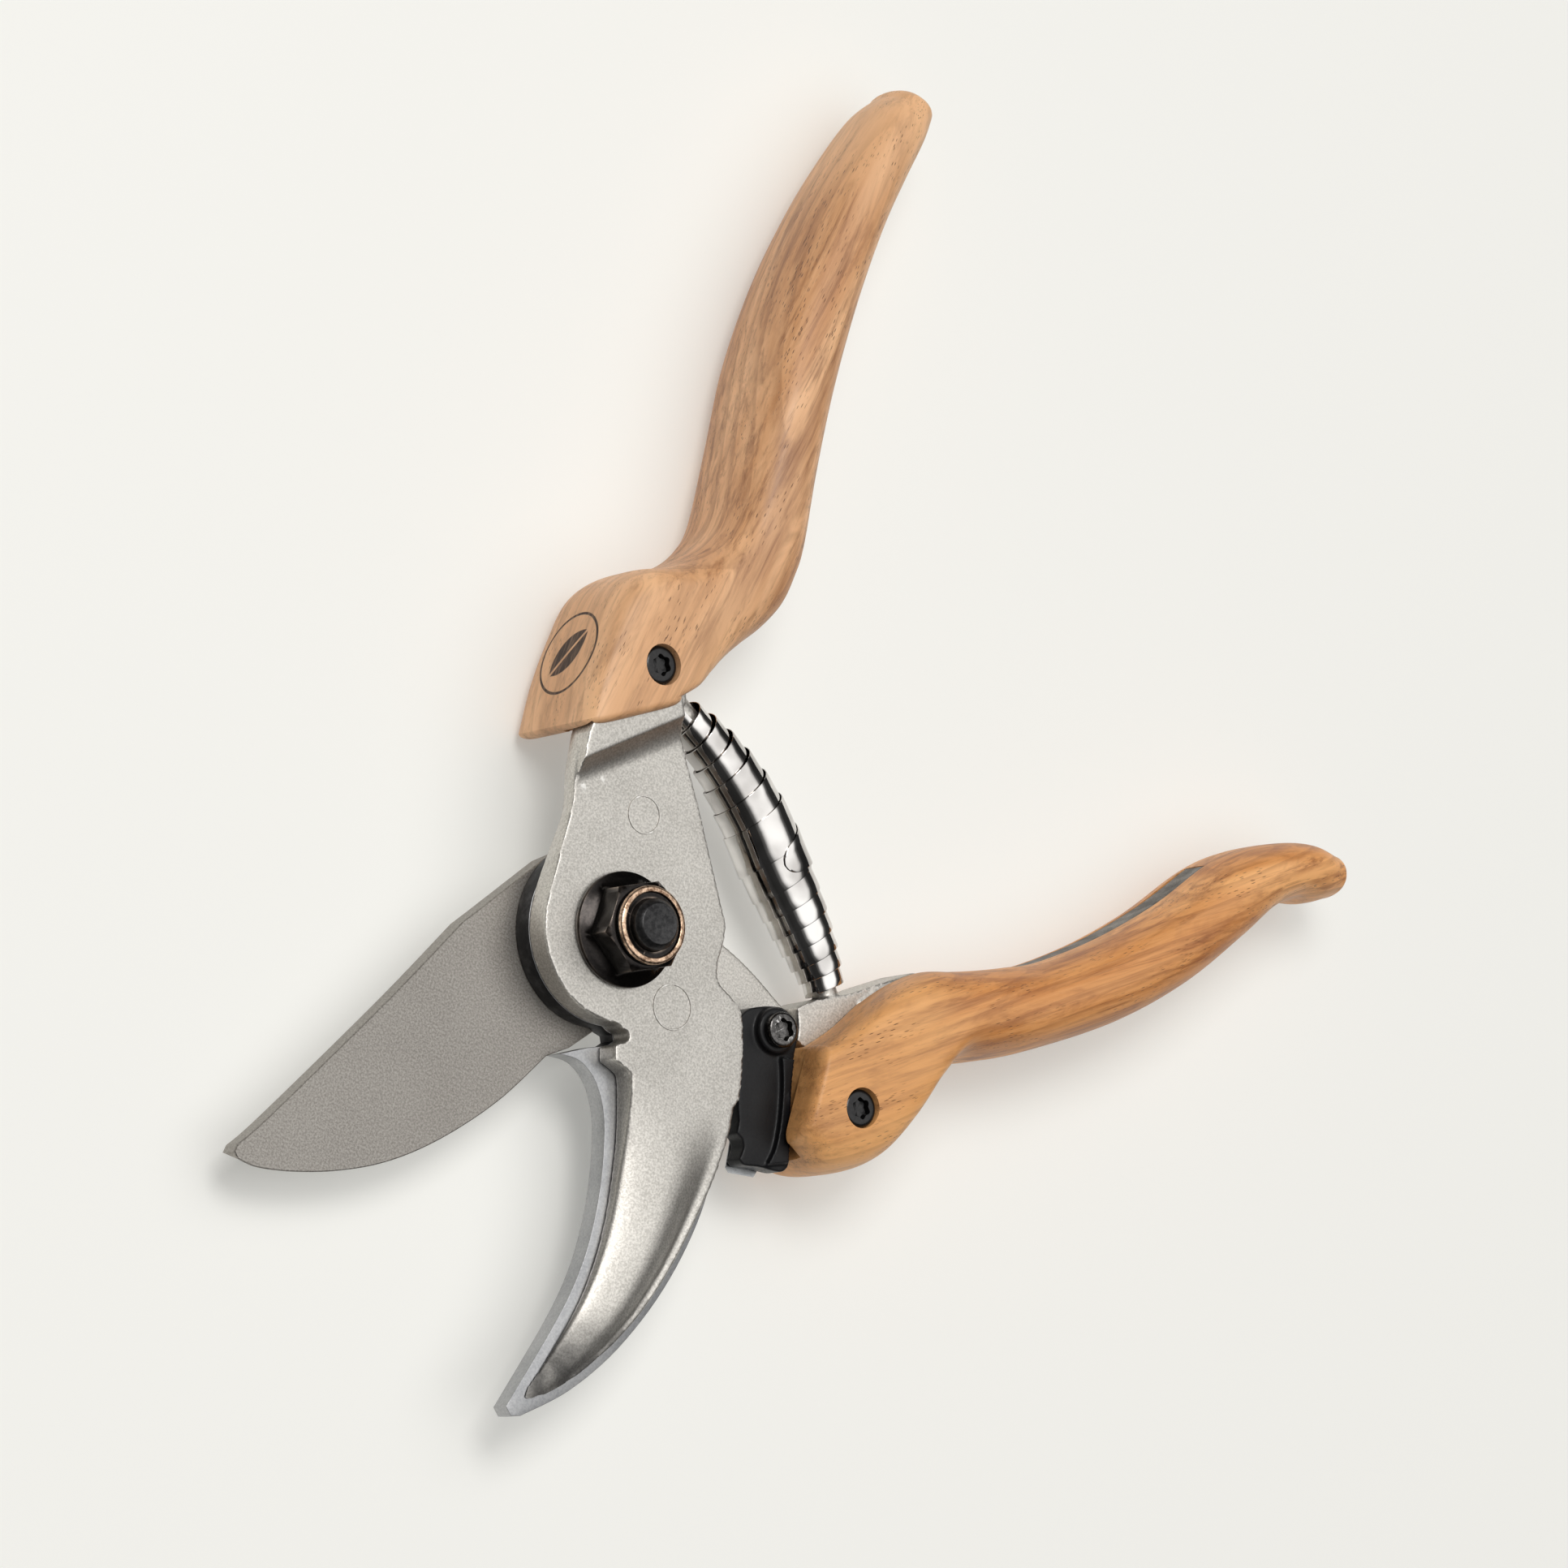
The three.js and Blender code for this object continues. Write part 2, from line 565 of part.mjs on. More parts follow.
function bladeScrewRoom(centre) {
  return turned([
    [0, BACK_BOTTOM - 1], [2.75, BACK_BOTTOM - 1], [2.75, BACK_BOTTOM + 0.45],
    [BLADE_SCREW_RADIUS + 0.1, BACK_BOTTOM + 1.75],
    [BLADE_SCREW_RADIUS + 0.1, BACK_TOP + 1], [0, BACK_TOP + 1],
  ], centre, 20);
}

const ARM = [
  ...arc(0, 0, HUB_RADIUS - 1.4, -48, 42, 8),
  ...curve([[16.0, 9.7], [23.5, 8.4], [29.4, 6.8], [36.2, 4.1], [39.2, 3.0]], 2),
  [44.4, 1.0],
  [50.8, -2.0],
  [53.0, -12.0],
  [48.0, -17.2],
  [43.0, -18.2],
  ...curve([[37.0, -16.6], [30.0, -14.4], [20.0, -13.4]], 2),
];
const NECK = [
  [38.9, 3.1], [40.3, 6.0], [46.6, 9.9], [51.4, 13.7], [57.0, 17.9],
  [58.4, 14.0], [54.0, 6.0], [53.0, -12.0],
  [47.4, -15.4], [44.2, -14.0], [43.4, -2.0],
];
const TONGUE = [
  [-13.6, -1.0], [-17.6, -7.0], [-16.6, -14.6], [-10.6, -19.6],
  [-4.4, -19.4], [1.0, -13.0], [0, 0],
];
const NECK_TOP = 13.2;
const LOWER_TANG = tangLine(LOWER_RIBS, 2, 12);

function bladeBody() {
  const axisEnd = SPRING_AXIS.length - 1;
  const whole = union(
    disc([0, 0], HUB_RADIUS - 1.2, BACK_BOTTOM, BACK_TOP),
    plate(TONGUE, BACK_BOTTOM, BACK_TOP),
    plate(ARM, BACK_BOTTOM, BLADE_TOP),
    plate(NECK, BACK_BOTTOM + 2, NECK_TOP),
    plate(band(LOWER_TANG, 0.35, TANG_DEPTH), GRIP_MIDDLE - TANG_HALF, GRIP_MIDDLE + TANG_HALF),
    springPeg(SPRING_AXIS[axisEnd], SPRING_AXIS[axisEnd - 1]),
  );
  return cut(
    whole,
    disc([0, 0], BUSH_RADIUS + 0.05, 0, BLADE_TOP),
    disc([0, 0], HUB_RADIUS - 0.2, BACK_TOP, BLADE_TOP + 1),
    ...BLADE_SCREWS.map(bladeScrewRoom),
    disc(LOWER_SCREW, GRIP_SCREW_RADIUS + FIT, 0, NECK_TOP + 1, 16),
    disc(LOWER_SCREW, SLEEVE_RADIUS + FIT, 0, SLEEVE_TOP + 0.2, 24),
    disc(LATCH_PIVOT, LATCH_SCREW_RADIUS + 0.1, 4, BLADE_TOP + 1, 16),
  );
}

function lowerGrip() {
  const arm = ARM.map(([x, y]) => [x > 40 ? x + FIT : x, y > -10 ? y + FIT : y - FIT]);
  const latchSide = [
    [36.0, -24.0], [36.0, -1.0], [39.6, -1.6], [39.9, -6.9],
    [40.8, -10.8], [43.1, -17.2], [44.3, -20.4], [44.3, -24.0],
  ];
  const neck = [
    [30.0, 3.1], [36.0, 20.0], [51.0, 24.0], [57.3, 18.4], [58.7, 13.9], [54.3, 6.0], [53.3, -12.1],
    [47.4, -15.8], [44.0, -14.3], [43.1, -2.2],
  ];
  return cut(
    gripBody(LOWER_RIBS),
    plate(arm, BACK_BOTTOM - FIT, BLADE_TOP + FIT),
    plate(neck, BACK_BOTTOM + 2 - FIT, NECK_TOP + FIT),
    plate(latchSide, BLADE_TOP, LATCH_BOSS_TOP + 0.5),
    plate(
      band(LOWER_TANG, -3, TANG_DEPTH + FIT),
      GRIP_MIDDLE - TANG_HALF - FIT,
      GRIP_MIDDLE + TANG_HALF + FIT,
    ),
    screwRoom(LOWER_SCREW),
  );
}

// ---------------------------------------------------------------- latch
const LATCH_OUTLINE = [
  ...curve([
    [27.3, -2.6], [29.8, -0.1], [32.3, 1.5], [34.7, 2.1], [37.0, 1.3], [38.4, -0.3], [38.8, -2.6],
  ], 2),
  ...curve([[39.2, -6.8], [40.0, -10.8], [42.3, -17.4], [43.4, -19.9]], 2),
  ...curve([[43.5, -20.9], [42.4, -22.2], [38.4, -23.0], [35.7, -23.8], [34.5, -23.3]], 2),
  [34.7, -21.2],
  [34.0, -20.1],
  [32.7, -19.7],
  ...curve([[32.5, -17.8], [31.2, -14.6], [29.6, -8.5], [27.9, -4.4]], 2),
];

function latchLever() {
  const ridge = [
    [39.0, -8.4], [41.9, -17.0], [42.9, -20.6], [39.8, -21.8],
    [38.6, -17.0], [37.6, -12.0], [37.2, -8.0],
  ];
  return cut(
    union(
      plate(LATCH_OUTLINE, LATCH_BOTTOM, LATCH_TOP),
      disc(LATCH_PIVOT, 3.6, LATCH_BOTTOM, LATCH_BOSS_TOP),
      plate(ridge, LATCH_BOTTOM, LATCH_TOP + 1.1),
    ),
    disc(LATCH_PIVOT, LATCH_SLEEVE_RADIUS + FIT, 0, LATCH_BOSS_TOP + 1, 24),
  );
}

function latchLeaf() {
  const tongue = [
    [31.2, -4.6], [32.3, -12.0], [34.2, -18.6], [35.0, -24.2], [35.8, -24.7], [40.4, -23.6], [40.7, -22.6],
    [39.4, -15.0], [37.4, -8.6], [36.8, -3.6],
  ];
  return cut(
    union(disc(LATCH_PIVOT, 3.4, BLADE_TOP, LEAF_TOP, 24), plate(tongue, BLADE_TOP, LEAF_TOP)),
    disc(LATCH_PIVOT, LATCH_SCREW_RADIUS + 0.1, 0, 20, 16),
  );
}

function latchSleeve() {
  return cut(
    disc(LATCH_PIVOT, LATCH_SLEEVE_RADIUS, LEAF_TOP, LATCH_SLEEVE_TOP, 24),
    disc(LATCH_PIVOT, LATCH_SCREW_RADIUS + 0.1, 0, 20, 16),
  );
}

function latchScrew() {
  const headHeight = LATCH_SCREW_TOP - LATCH_SLEEVE_TOP;
  const sizes = [LATCH_HEAD_RADIUS, headHeight, LATCH_SCREW_RADIUS];
  return headedScrew(LATCH_PIVOT, sizes, 4.4, LATCH_SCREW_TOP);
}

// ---------------------------------------------------------------- spring
const springLine = new THREE.CatmullRomCurve3(
  SPRING_AXIS.map(([x, y]) => new THREE.Vector3(x, y, GRIP_MIDDLE)),
);
const springLength = springLine.getLength();

// A point beside the spring's axis: how far along it, at what radius and at what angle round it.
function besideSpring(distance, radius, angle) {
  const along = THREE.MathUtils.clamp(distance / springLength, 0, 1);
  const centre = springLine.getPointAt(along);
  const tangent = springLine.getTangentAt(along);
  const side = new THREE.Vector3(tangent.y, -tangent.x, 0);
  centre.addScaledVector(side, radius * Math.cos(angle));
  centre.z += radius * Math.sin(angle);
  return centre.toArray();
}

// One strip wound from its small end on a peg out to its large end at mid length.
function springStrip(fromDistance, toDistance, fromRadius, toRadius) {
  const steps = SPRING_TURNS * STRIP_STEPS;
  const handed = Math.sign(toDistance - fromDistance);
  const rings = Array.from({ length: steps + 1 }, (_, i) => {
    const done = i / steps;
    const centre = fromDistance + (toDistance - fromDistance) * done;
    const radius = fromRadius + (toRadius - fromRadius) * done;
    const tip = Math.min(1, (steps - i) / 5);
    const half = (STRIP_WIDTH / 2) * Math.max(0.3, Math.sqrt(tip * (2 - tip)));
    const angle = (-2 * Math.PI * handed * i) / STRIP_STEPS;
    const inner = radius - STRIP_THICKNESS / 2;
    const outer = radius + STRIP_THICKNESS / 2;
    const [near, far] = [centre - half * handed, centre + half * handed];
    const corners = [[near, inner], [far, inner], [far, outer], [near, outer]];
    return corners.map(([distance, reach]) => besideSpring(distance, reach, angle));
  });
  return skin(rings);
}

const SPRING_END = STRIP_WIDTH / 2 + 0.3;
const upperStrip = () => springStrip(SPRING_END, 29.0, 2.55, 5.9);
const lowerStrip = () => springStrip(springLength - SPRING_END, 27.0, 2.9, 5.2);

// ---------------------------------------------------------------- materials and scene
const LOOKS = {
  aluminium: { color: 0xbdbbb6, roughness: 0.42, metalness: 0.9 },
  counterSteel: { color: 0xa9a9a8, roughness: 0.4, metalness: 1.0 },
  bladeSteel: { color: 0x8f8a82, roughness: 0.5, metalness: 1.0 },
  paleWood: { color: 0xc69a6c, roughness: 0.55, metalness: 0.0 },
  warmWood: { color: 0xd08f57, roughness: 0.55, metalness: 0.0 },
  blackSteel: { color: 0x1c1a19, roughness: 0.35, metalness: 0.8 },
  zincSteel: { color: 0xb4b6b8, roughness: 0.35, metalness: 1.0 },
  bronze: { color: 0xa9783f, roughness: 0.4, metalness: 1.0 },
  springSteel: { color: 0xc9c6c2, roughness: 0.12, metalness: 1.0 },
  blackPlastic: { color: 0x161617, roughness: 0.5, metalness: 0.0 },
};

const shears = new THREE.Group();

function place(name, look, solid) {
  const mesh = new THREE.Mesh(geometryOf(solid), new THREE.MeshStandardMaterial(LOOKS[look]));
  mesh.name = name;
  shears.add(mesh);
}

place('counter_body', 'aluminium', counterBody());
place('counter_blade', 'counterSteel', counterBlade());
DOWELS.forEach((centre, i) => place(`counter_dowel_${i + 1}`, 'zincSteel', dowel(centre)));
place('upper_grip', 'paleWood', upperGrip());
place('upper_grip_screw', 'blackSteel', gripScrew(UPPER_SCREW));
place('upper_grip_nut', 'blackSteel', sleeveNut(UPPER_SCREW));
place('pivot_bolt', 'blackSteel', pivotBolt());
place('pivot_washer', 'zincSteel', pivotWasher());
place('flange_nut', 'blackSteel', flangeNut());
place('spring_upper_strip', 'springSteel', upperStrip());
place('spring_lower_strip', 'springSteel', lowerStrip());

place('blade_body', 'aluminium', bladeBody());
place('cutting_blade', 'bladeSteel', cuttingBlade());
BLADE_SCREWS.forEach((centre, i) => place(`blade_screw_${i + 1}`, 'blackSteel', bladeScrew(centre)));
place('pivot_bush', 'bronze', pivotBush());
place('lower_grip', 'warmWood', lowerGrip());
place('lower_grip_screw', 'blackSteel', gripScrew(LOWER_SCREW));
place('lower_grip_nut', 'blackSteel', sleeveNut(LOWER_SCREW));
place('latch_screw', 'blackSteel', latchScrew());
place('latch_sleeve', 'zincSteel', latchSleeve());
place('latch_leaf', 'zincSteel', latchLeaf());
place('latch_lever', 'blackPlastic', latchLever());

export default shears;
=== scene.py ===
"""Looks for one-hand bypass shears with wooden grips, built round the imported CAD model.

Lengths in the tables below are millimetres in the CAD frame: +Z is the pivot axis on the nut side,
z = 0 is the resting plane. Meshes are scaled to metres as they are made.
"""
import math

import bmesh
import bpy
from mathutils import Matrix, Vector


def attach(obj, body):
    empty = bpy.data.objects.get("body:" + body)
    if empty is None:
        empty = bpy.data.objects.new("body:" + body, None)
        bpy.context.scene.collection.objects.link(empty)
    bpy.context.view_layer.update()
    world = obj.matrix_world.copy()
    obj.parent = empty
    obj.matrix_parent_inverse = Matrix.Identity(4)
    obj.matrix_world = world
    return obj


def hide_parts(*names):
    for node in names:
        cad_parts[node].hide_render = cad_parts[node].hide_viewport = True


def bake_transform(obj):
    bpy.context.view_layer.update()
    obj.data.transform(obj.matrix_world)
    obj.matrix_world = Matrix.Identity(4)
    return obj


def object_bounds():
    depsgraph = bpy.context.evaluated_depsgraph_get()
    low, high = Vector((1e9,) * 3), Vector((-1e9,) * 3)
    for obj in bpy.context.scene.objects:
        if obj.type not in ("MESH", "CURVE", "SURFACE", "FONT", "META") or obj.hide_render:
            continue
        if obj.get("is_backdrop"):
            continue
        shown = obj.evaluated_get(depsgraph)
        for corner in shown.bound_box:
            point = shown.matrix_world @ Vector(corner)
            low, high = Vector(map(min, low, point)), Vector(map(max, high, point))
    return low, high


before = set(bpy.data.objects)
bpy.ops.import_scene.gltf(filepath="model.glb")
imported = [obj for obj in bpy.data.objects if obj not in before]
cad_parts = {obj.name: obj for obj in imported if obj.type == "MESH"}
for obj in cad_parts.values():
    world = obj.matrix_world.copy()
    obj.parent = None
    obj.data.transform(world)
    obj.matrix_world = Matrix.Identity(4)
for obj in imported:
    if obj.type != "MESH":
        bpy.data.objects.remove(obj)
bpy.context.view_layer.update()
MM = 0.001

# ---------------------------------------------------------------- camera, first
CAMERA_AT = (-0.50108, -0.30499, 0.82855)
CAMERA_RIGHT = (0.7571, 0.2642, 0.5976)
CAMERA_UP = (-0.4076, 0.9058, 0.1162)
CAMERA_BACK = (-0.51055, -0.33156, 0.79335)
CAMERA_LENS = 150.93
camera_data = bpy.data.cameras.new("camera")
camera_data.lens = CAMERA_LENS
camera_data.sensor_width = 36.0
camera_data.clip_start = 0.02
camera_data.clip_end = 20.0
camera = bpy.data.objects.new("camera", camera_data)
bpy.context.scene.collection.objects.link(camera)
turn = Matrix((CAMERA_RIGHT, CAMERA_UP, CAMERA_BACK)).transposed().to_4x4()
camera.matrix_world = Matrix.Translation(CAMERA_AT) @ turn
bpy.context.scene.camera = camera

# ---------------------------------------------------------------- driving dimensions
BACK_BOTTOM = 2.8
BACK_TOP = 6.6
BLADE_TOP = 10.0
COUNTER_BOTTOM = 10.15
COUNTER_TOP = 13.6
FRONT_TOP = 18.0
PAD_TOP = 20.5
HUB_RADIUS = 14.4
GRIP_MIDDLE = 11.0
TANG_HALF = 2.5
TANG_LOW = GRIP_MIDDLE - TANG_HALF
TANG_HIGH = GRIP_MIDDLE + TANG_HALF
TANG_DEPTH = 4.2
NUT_TOP = 26.0
BOLT_END = 27.7
UPPER_SCREW = (-9.1, 40.1)
LOWER_SCREW = (48.7, -9.5)
LATCH_PIVOT = (33.8, -2.1)
BOLT_BORE = 4.15
BUSH_BORE = 5.05
SCREW_BORE = 1.85
SLEEVE_BORE = 2.75
CLEARANCE = 0.15
CASTING_VOXEL = 0.3

NOTCH = [(4.9, -14.2), (6.2, -14.3), (6.7, -15.2), (5.9, -16.2), (4.5, -17.0)]
CUTTING_EDGE = [
    (-1.9, -20.9), (1.8, -20.4), (5.0, -21.7), (7.3, -24.0), (9.0, -26.8), (10.3, -30.4), (11.6, -35.4),
    (12.5, -41.2), (12.8, -47.4), (12.3, -53.4), (11.1, -59.3), (9.5, -65.3), (6.9, -74.5),
]
HOOK_BACK = [
    (9.8, -74.9), (16.8, -68.2), (23.1, -59.0), (28.0, -47.5), (30.6, -35.5), (30.8, -24.0), (30.4, -17.0),
]
NECK_LEFT = [(-17.4, 25.2), (-16.6, 20.0), (-15.2, 15.0), (-14.8, 8.0), (-14.4, 0)]
SHOULDER = [
    (28.4, -17.4), (28.8, -15.4), (27.4, -9.6), (25.0, -3.4), (22.5, -1.7), (19.4, -0.4), (18.3, 1.8),
    (18.2, 4.8), (17.7, 8.2), (16.0, 10.8), (10.8, 18.1), (6.6, 24.0), (1.8, 30.3), (-3.2, 37.6),
]
BLADE_EDGE = [
    (-47.4, -56.4), (-43.8, -56.3), (-37.7, -54.5), (-30.9, -51.6), (-24.3, -47.8), (-18.2, -42.9),
    (-12.3, -36.7), (-6.8, -29.5), (-1.8, -20.9),
]
BLADE_SPINE = [(-22.7, -7.6), (-31.0, -23.9), (-44.1, -47.8), (-48.1, -54.3)]
BLADE_SCREWS = [(-12.4, -8.4), (-6.8, -15.2)]

# Grip ribs: left and right points, half thickness, squareness of the section.
UPPER_RIBS = [
    ((-18.8, 26.5), (-2.8, 38.0), 11.0, 6), ((-19.4, 34.0), (-0.2, 40.8), 11.0, 6),
    ((-19.4, 42.0), (1.6, 44.0), 11.0, 5), ((-18.6, 49.2), (3.6, 47.6), 11.0, 4.4),
    ((-15.6, 54.0), (6.2, 51.2), 11.0, 3.6), ((-10.8, 57.0), (9.4, 55.5), 11.0, 3.0),
    ((-6.4, 60.8), (11.8, 60.2), 11.0, 2.7), ((-3.6, 65.4), (12.7, 65.0), 11.0, 2.5),
    ((-2.5, 71.0), (12.8, 70.5), 11.0, 2.4), ((-3.4, 84.0), (11.0, 83.0), 11.0, 2.4),
    ((-4.7, 98.0), (9.8, 97.0), 11.0, 2.4), ((-4.2, 113.0), (9.7, 112.0), 10.4, 2.4),
    ((-2.0, 127.0), (10.6, 126.0), 9.6, 2.4), ((0.6, 137.5), (12.2, 136.0), 8.8, 2.4),
    ((3.2, 145.6), (14.0, 144.2), 7.8, 2.3), ((5.9, 150.0), (14.7, 148.8), 6.4, 2.2),
]
LOWER_RIBS = [
    ((41.3, -18.4), (40.6, -1.9), 11.0, 6), ((46.9, -20.3), (44.6, 3.0), 11.0, 5.5),
    ((52.6, -18.2), (48.4, 9.0), 11.0, 5), ((57.6, -13.9), (52.6, 14.0), 11.0, 4.4),
    ((60.7, -7.7), (57.4, 18.0), 11.0, 3.6), ((62.8, -0.6), (62.6, 20.4), 11.0, 3.0),
    ((65.9, 5.6), (68.0, 23.0), 11.0, 2.6), ((72.6, 9.2), (73.4, 25.9), 11.0, 2.4),
    ((81.0, 14.2), (79.0, 29.2), 11.0, 2.4), ((95.7, 25.2), (88.9, 37.6), 11.0, 2.4),
    ((107.0, 36.6), (98.4, 47.7), 10.6, 2.4), ((116.0, 48.8), (106.4, 58.3), 9.8, 2.4),
    ((121.0, 56.4), (112.4, 63.8), 9.2, 2.4), ((125.2, 60.2), (120.0, 68.4), 8.6, 2.4),
    ((129.8, 61.9), (125.9, 70.8), 7.8, 2.3), ((133.2, 64.2), (130.7, 71.2), 6.4, 2.2),
]

SPRING_AXIS = [
    (3.7, 38.8), (8.1, 37.1), (12.8, 34.8), (17.4, 32.0), (22.3, 28.4), (27.4, 23.6), (31.8, 19.9),
    (36.7, 15.5), (41.0, 11.4), (42.9, 9.0),
]
SPRING_TURNS = 7
STEPS_PER_TURN = 48
TONGUE_STEPS = 8
STRIP_THICK = 0.2
STRIP_ROUNDING = 0.05


# ---------------------------------------------------------------- lines
def curve(points, steps=8):
    """A smooth run through points of any dimension, steps pieces between each two."""
    points = [tuple(map(float, p)) for p in points]
    out = []
    for i in range(len(points) - 1):
        p1, p2 = points[i], points[i + 1]
        p0 = points[i - 1] if i else p1
        p3 = points[i + 2] if i + 2 < len(points) else p2
        for k in range(steps):
            t = k / steps
            out.append(tuple(
                b + 0.5 * t * (c - a + t * (2 * a - 5 * b + 4 * c - d + t * (3 * (b - c) + d - a)))
                for a, b, c, d in zip(p0, p1, p2, p3)
            ))
    return out + [points[-1]]


def arc(x, y, radius, start, end, steps):
    """Points on an arc about (x, y), from start to end in degrees."""
    angles = [math.radians(start + (end - start) * i / steps) for i in range(steps + 1)]
    return [(x + radius * math.cos(a), y + radius * math.sin(a)) for a in angles]


def right_normals(points):
    out = []
    for i in range(len(points)):
        a, b = points[max(i - 1, 0)], points[min(i + 1, len(points) - 1)]
        along = (Vector(b) - Vector(a)).normalized()
        out.append((along.y, -along.x))
    return out


def shifted(points, distance):
    """A line moved to its right by a distance."""
    return [(x + n[0] * distance, y + n[1] * distance) for (x, y), n in zip(points, right_normals(points))]


def band(line, near, far):
    """The outline between two copies of a line, moved to its right by near and by far."""
    return shifted(line, near) + shifted(line, far)[::-1]


# ---------------------------------------------------------------- meshes
def new_object(name, points, faces):
    """A mesh object from millimetre points, its faces turned outwards."""
    mesh = bpy.data.meshes.new(name)
    mesh.from_pydata([[c * MM for c in p] for p in points], [], faces)
    mesh.validate()
    work = bmesh.new()
    work.from_mesh(mesh)
    bmesh.ops.recalc_face_normals(work, faces=work.faces)
    work.to_mesh(mesh)
    work.free()
    made = bpy.data.objects.new(name, mesh)
    bpy.context.scene.collection.objects.link(made)
    return made


def skin(name, rings, closed=False):
    """A skin over rings that all have the same count; capped at its ends unless it closes on itself."""
    count = len(rings[0])
    points = [p for ring in rings for p in ring]
    faces = []
    last = len(rings) if closed else len(rings) - 1
    for r in range(last):
        a0, b0 = r * count, ((r + 1) % len(rings)) * count
        for i in range(count):
            j = (i + 1) % count
            faces.append((a0 + i, a0 + j, b0 + j, b0 + i))
    if not closed:
        faces.append(tuple(range(count))[::-1])
        faces.append(tuple(range((len(rings) - 1) * count, len(rings) * count)))
    return new_object(name, points, faces)


def plate(name, outline, bottom, top):
    return skin(name, [[(x, y, bottom) for x, y in outline], [(x, y, top) for x, y in outline]])


def lathe(name, profile, centre=(0, 0), count=96, closed=False):
    """A turned piece; a profile entry's radius may be a function of the angle."""
    rings = []
    for radius, height in profile:
        ring = []
        for i in range(count):
            a = 2 * math.pi * i / count
            r = radius(a) if callable(radius) else radius
            z = height(a) if callable(height) else height
            ring.append((centre[0] + r * math.cos(a), centre[1] + r * math.sin(a), z))
        rings.append(ring)
    return skin(name, rings, closed)


def bore(radius, bottom, top, centre=(0, 0), count=64):
    """A round cutter."""
    return lathe("bore", [(radius, bottom), (radius, top)], centre, count)


def apply(obj):
    """Replaces an object's mesh by what its modifiers make of it."""
    evaluated = obj.evaluated_get(bpy.context.evaluated_depsgraph_get())
    mesh = bpy.data.meshes.new_from_object(evaluated)
    old = obj.data
    obj.modifiers.clear()
    obj.data = mesh
    bpy.data.meshes.remove(old)
    return obj


def combine(target, others, operation):
    """Booleans with each of the others in turn, which are used up."""
    for other in others:
        step = target.modifiers.new("step", "BOOLEAN")
        step.operation = operation
        step.solver = "EXACT"
        step.object = other
        apply(target)
        bpy.data.objects.remove(other)
    return target


def unite(target, *others):
    return combine(target, others, "UNION")


def cut(target, *others):
    return combine(target, others, "DIFFERENCE")


def bevel(obj, width):
    """Rounds the sharp edges of a plate."""
    step = obj.modifiers.new("bevel", "BEVEL")
    step.width = width * MM
    step.segments = 3
    step.limit_method = "ANGLE"
    step.angle_limit = math.radians(32)
    step.use_clamp_overlap = True
    return apply(obj)


def cast(obj, voxel, smooth, keep):
    """Rounds every edge and inner corner as a casting has them, and keeps that share of the faces."""
    step = obj.modifiers.new("voxels", "REMESH")
    step.mode = "VOXEL"
    step.voxel_size = voxel * MM
    step = obj.modifiers.new("soften", "SMOOTH")
    step.factor = 0.5
    step.iterations = smooth
    step = obj.modifiers.new("thin", "DECIMATE")
    step.ratio = keep
    return apply(obj)


def join(target, *others):
    """Puts loose closed shells into one mesh, for a casting that is remeshed afterwards."""
    work = bmesh.new()
    work.from_mesh(target.data)
    for other in others:
        work.from_mesh(other.data)
        bpy.data.objects.remove(other)
    work.to_mesh(target.data)
    work.free()
    return target


def piece(obj, name, body, material, slot, *nodes, angle=38, blend=None):
    """Names, shades and mounts a finished piece, in place of its CAD nodes."""
    work = bmesh.new()
    work.from_mesh(obj.data)
    bmesh.ops.triangulate(work, faces=[f for f in work.faces if len(f.verts) > 4])
    work.to_mesh(obj.data)
    work.free()
    obj.name = name
    obj.data.name = name
    obj.data.shade_smooth()
    obj.data.set_sharp_from_angle(angle=math.radians(angle))
    obj.data.materials.clear()
    obj.data.materials.append(material)
    if blend:
        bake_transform(obj)
    else:
        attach(obj, body)
    if nodes:
        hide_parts(*nodes)
    return obj


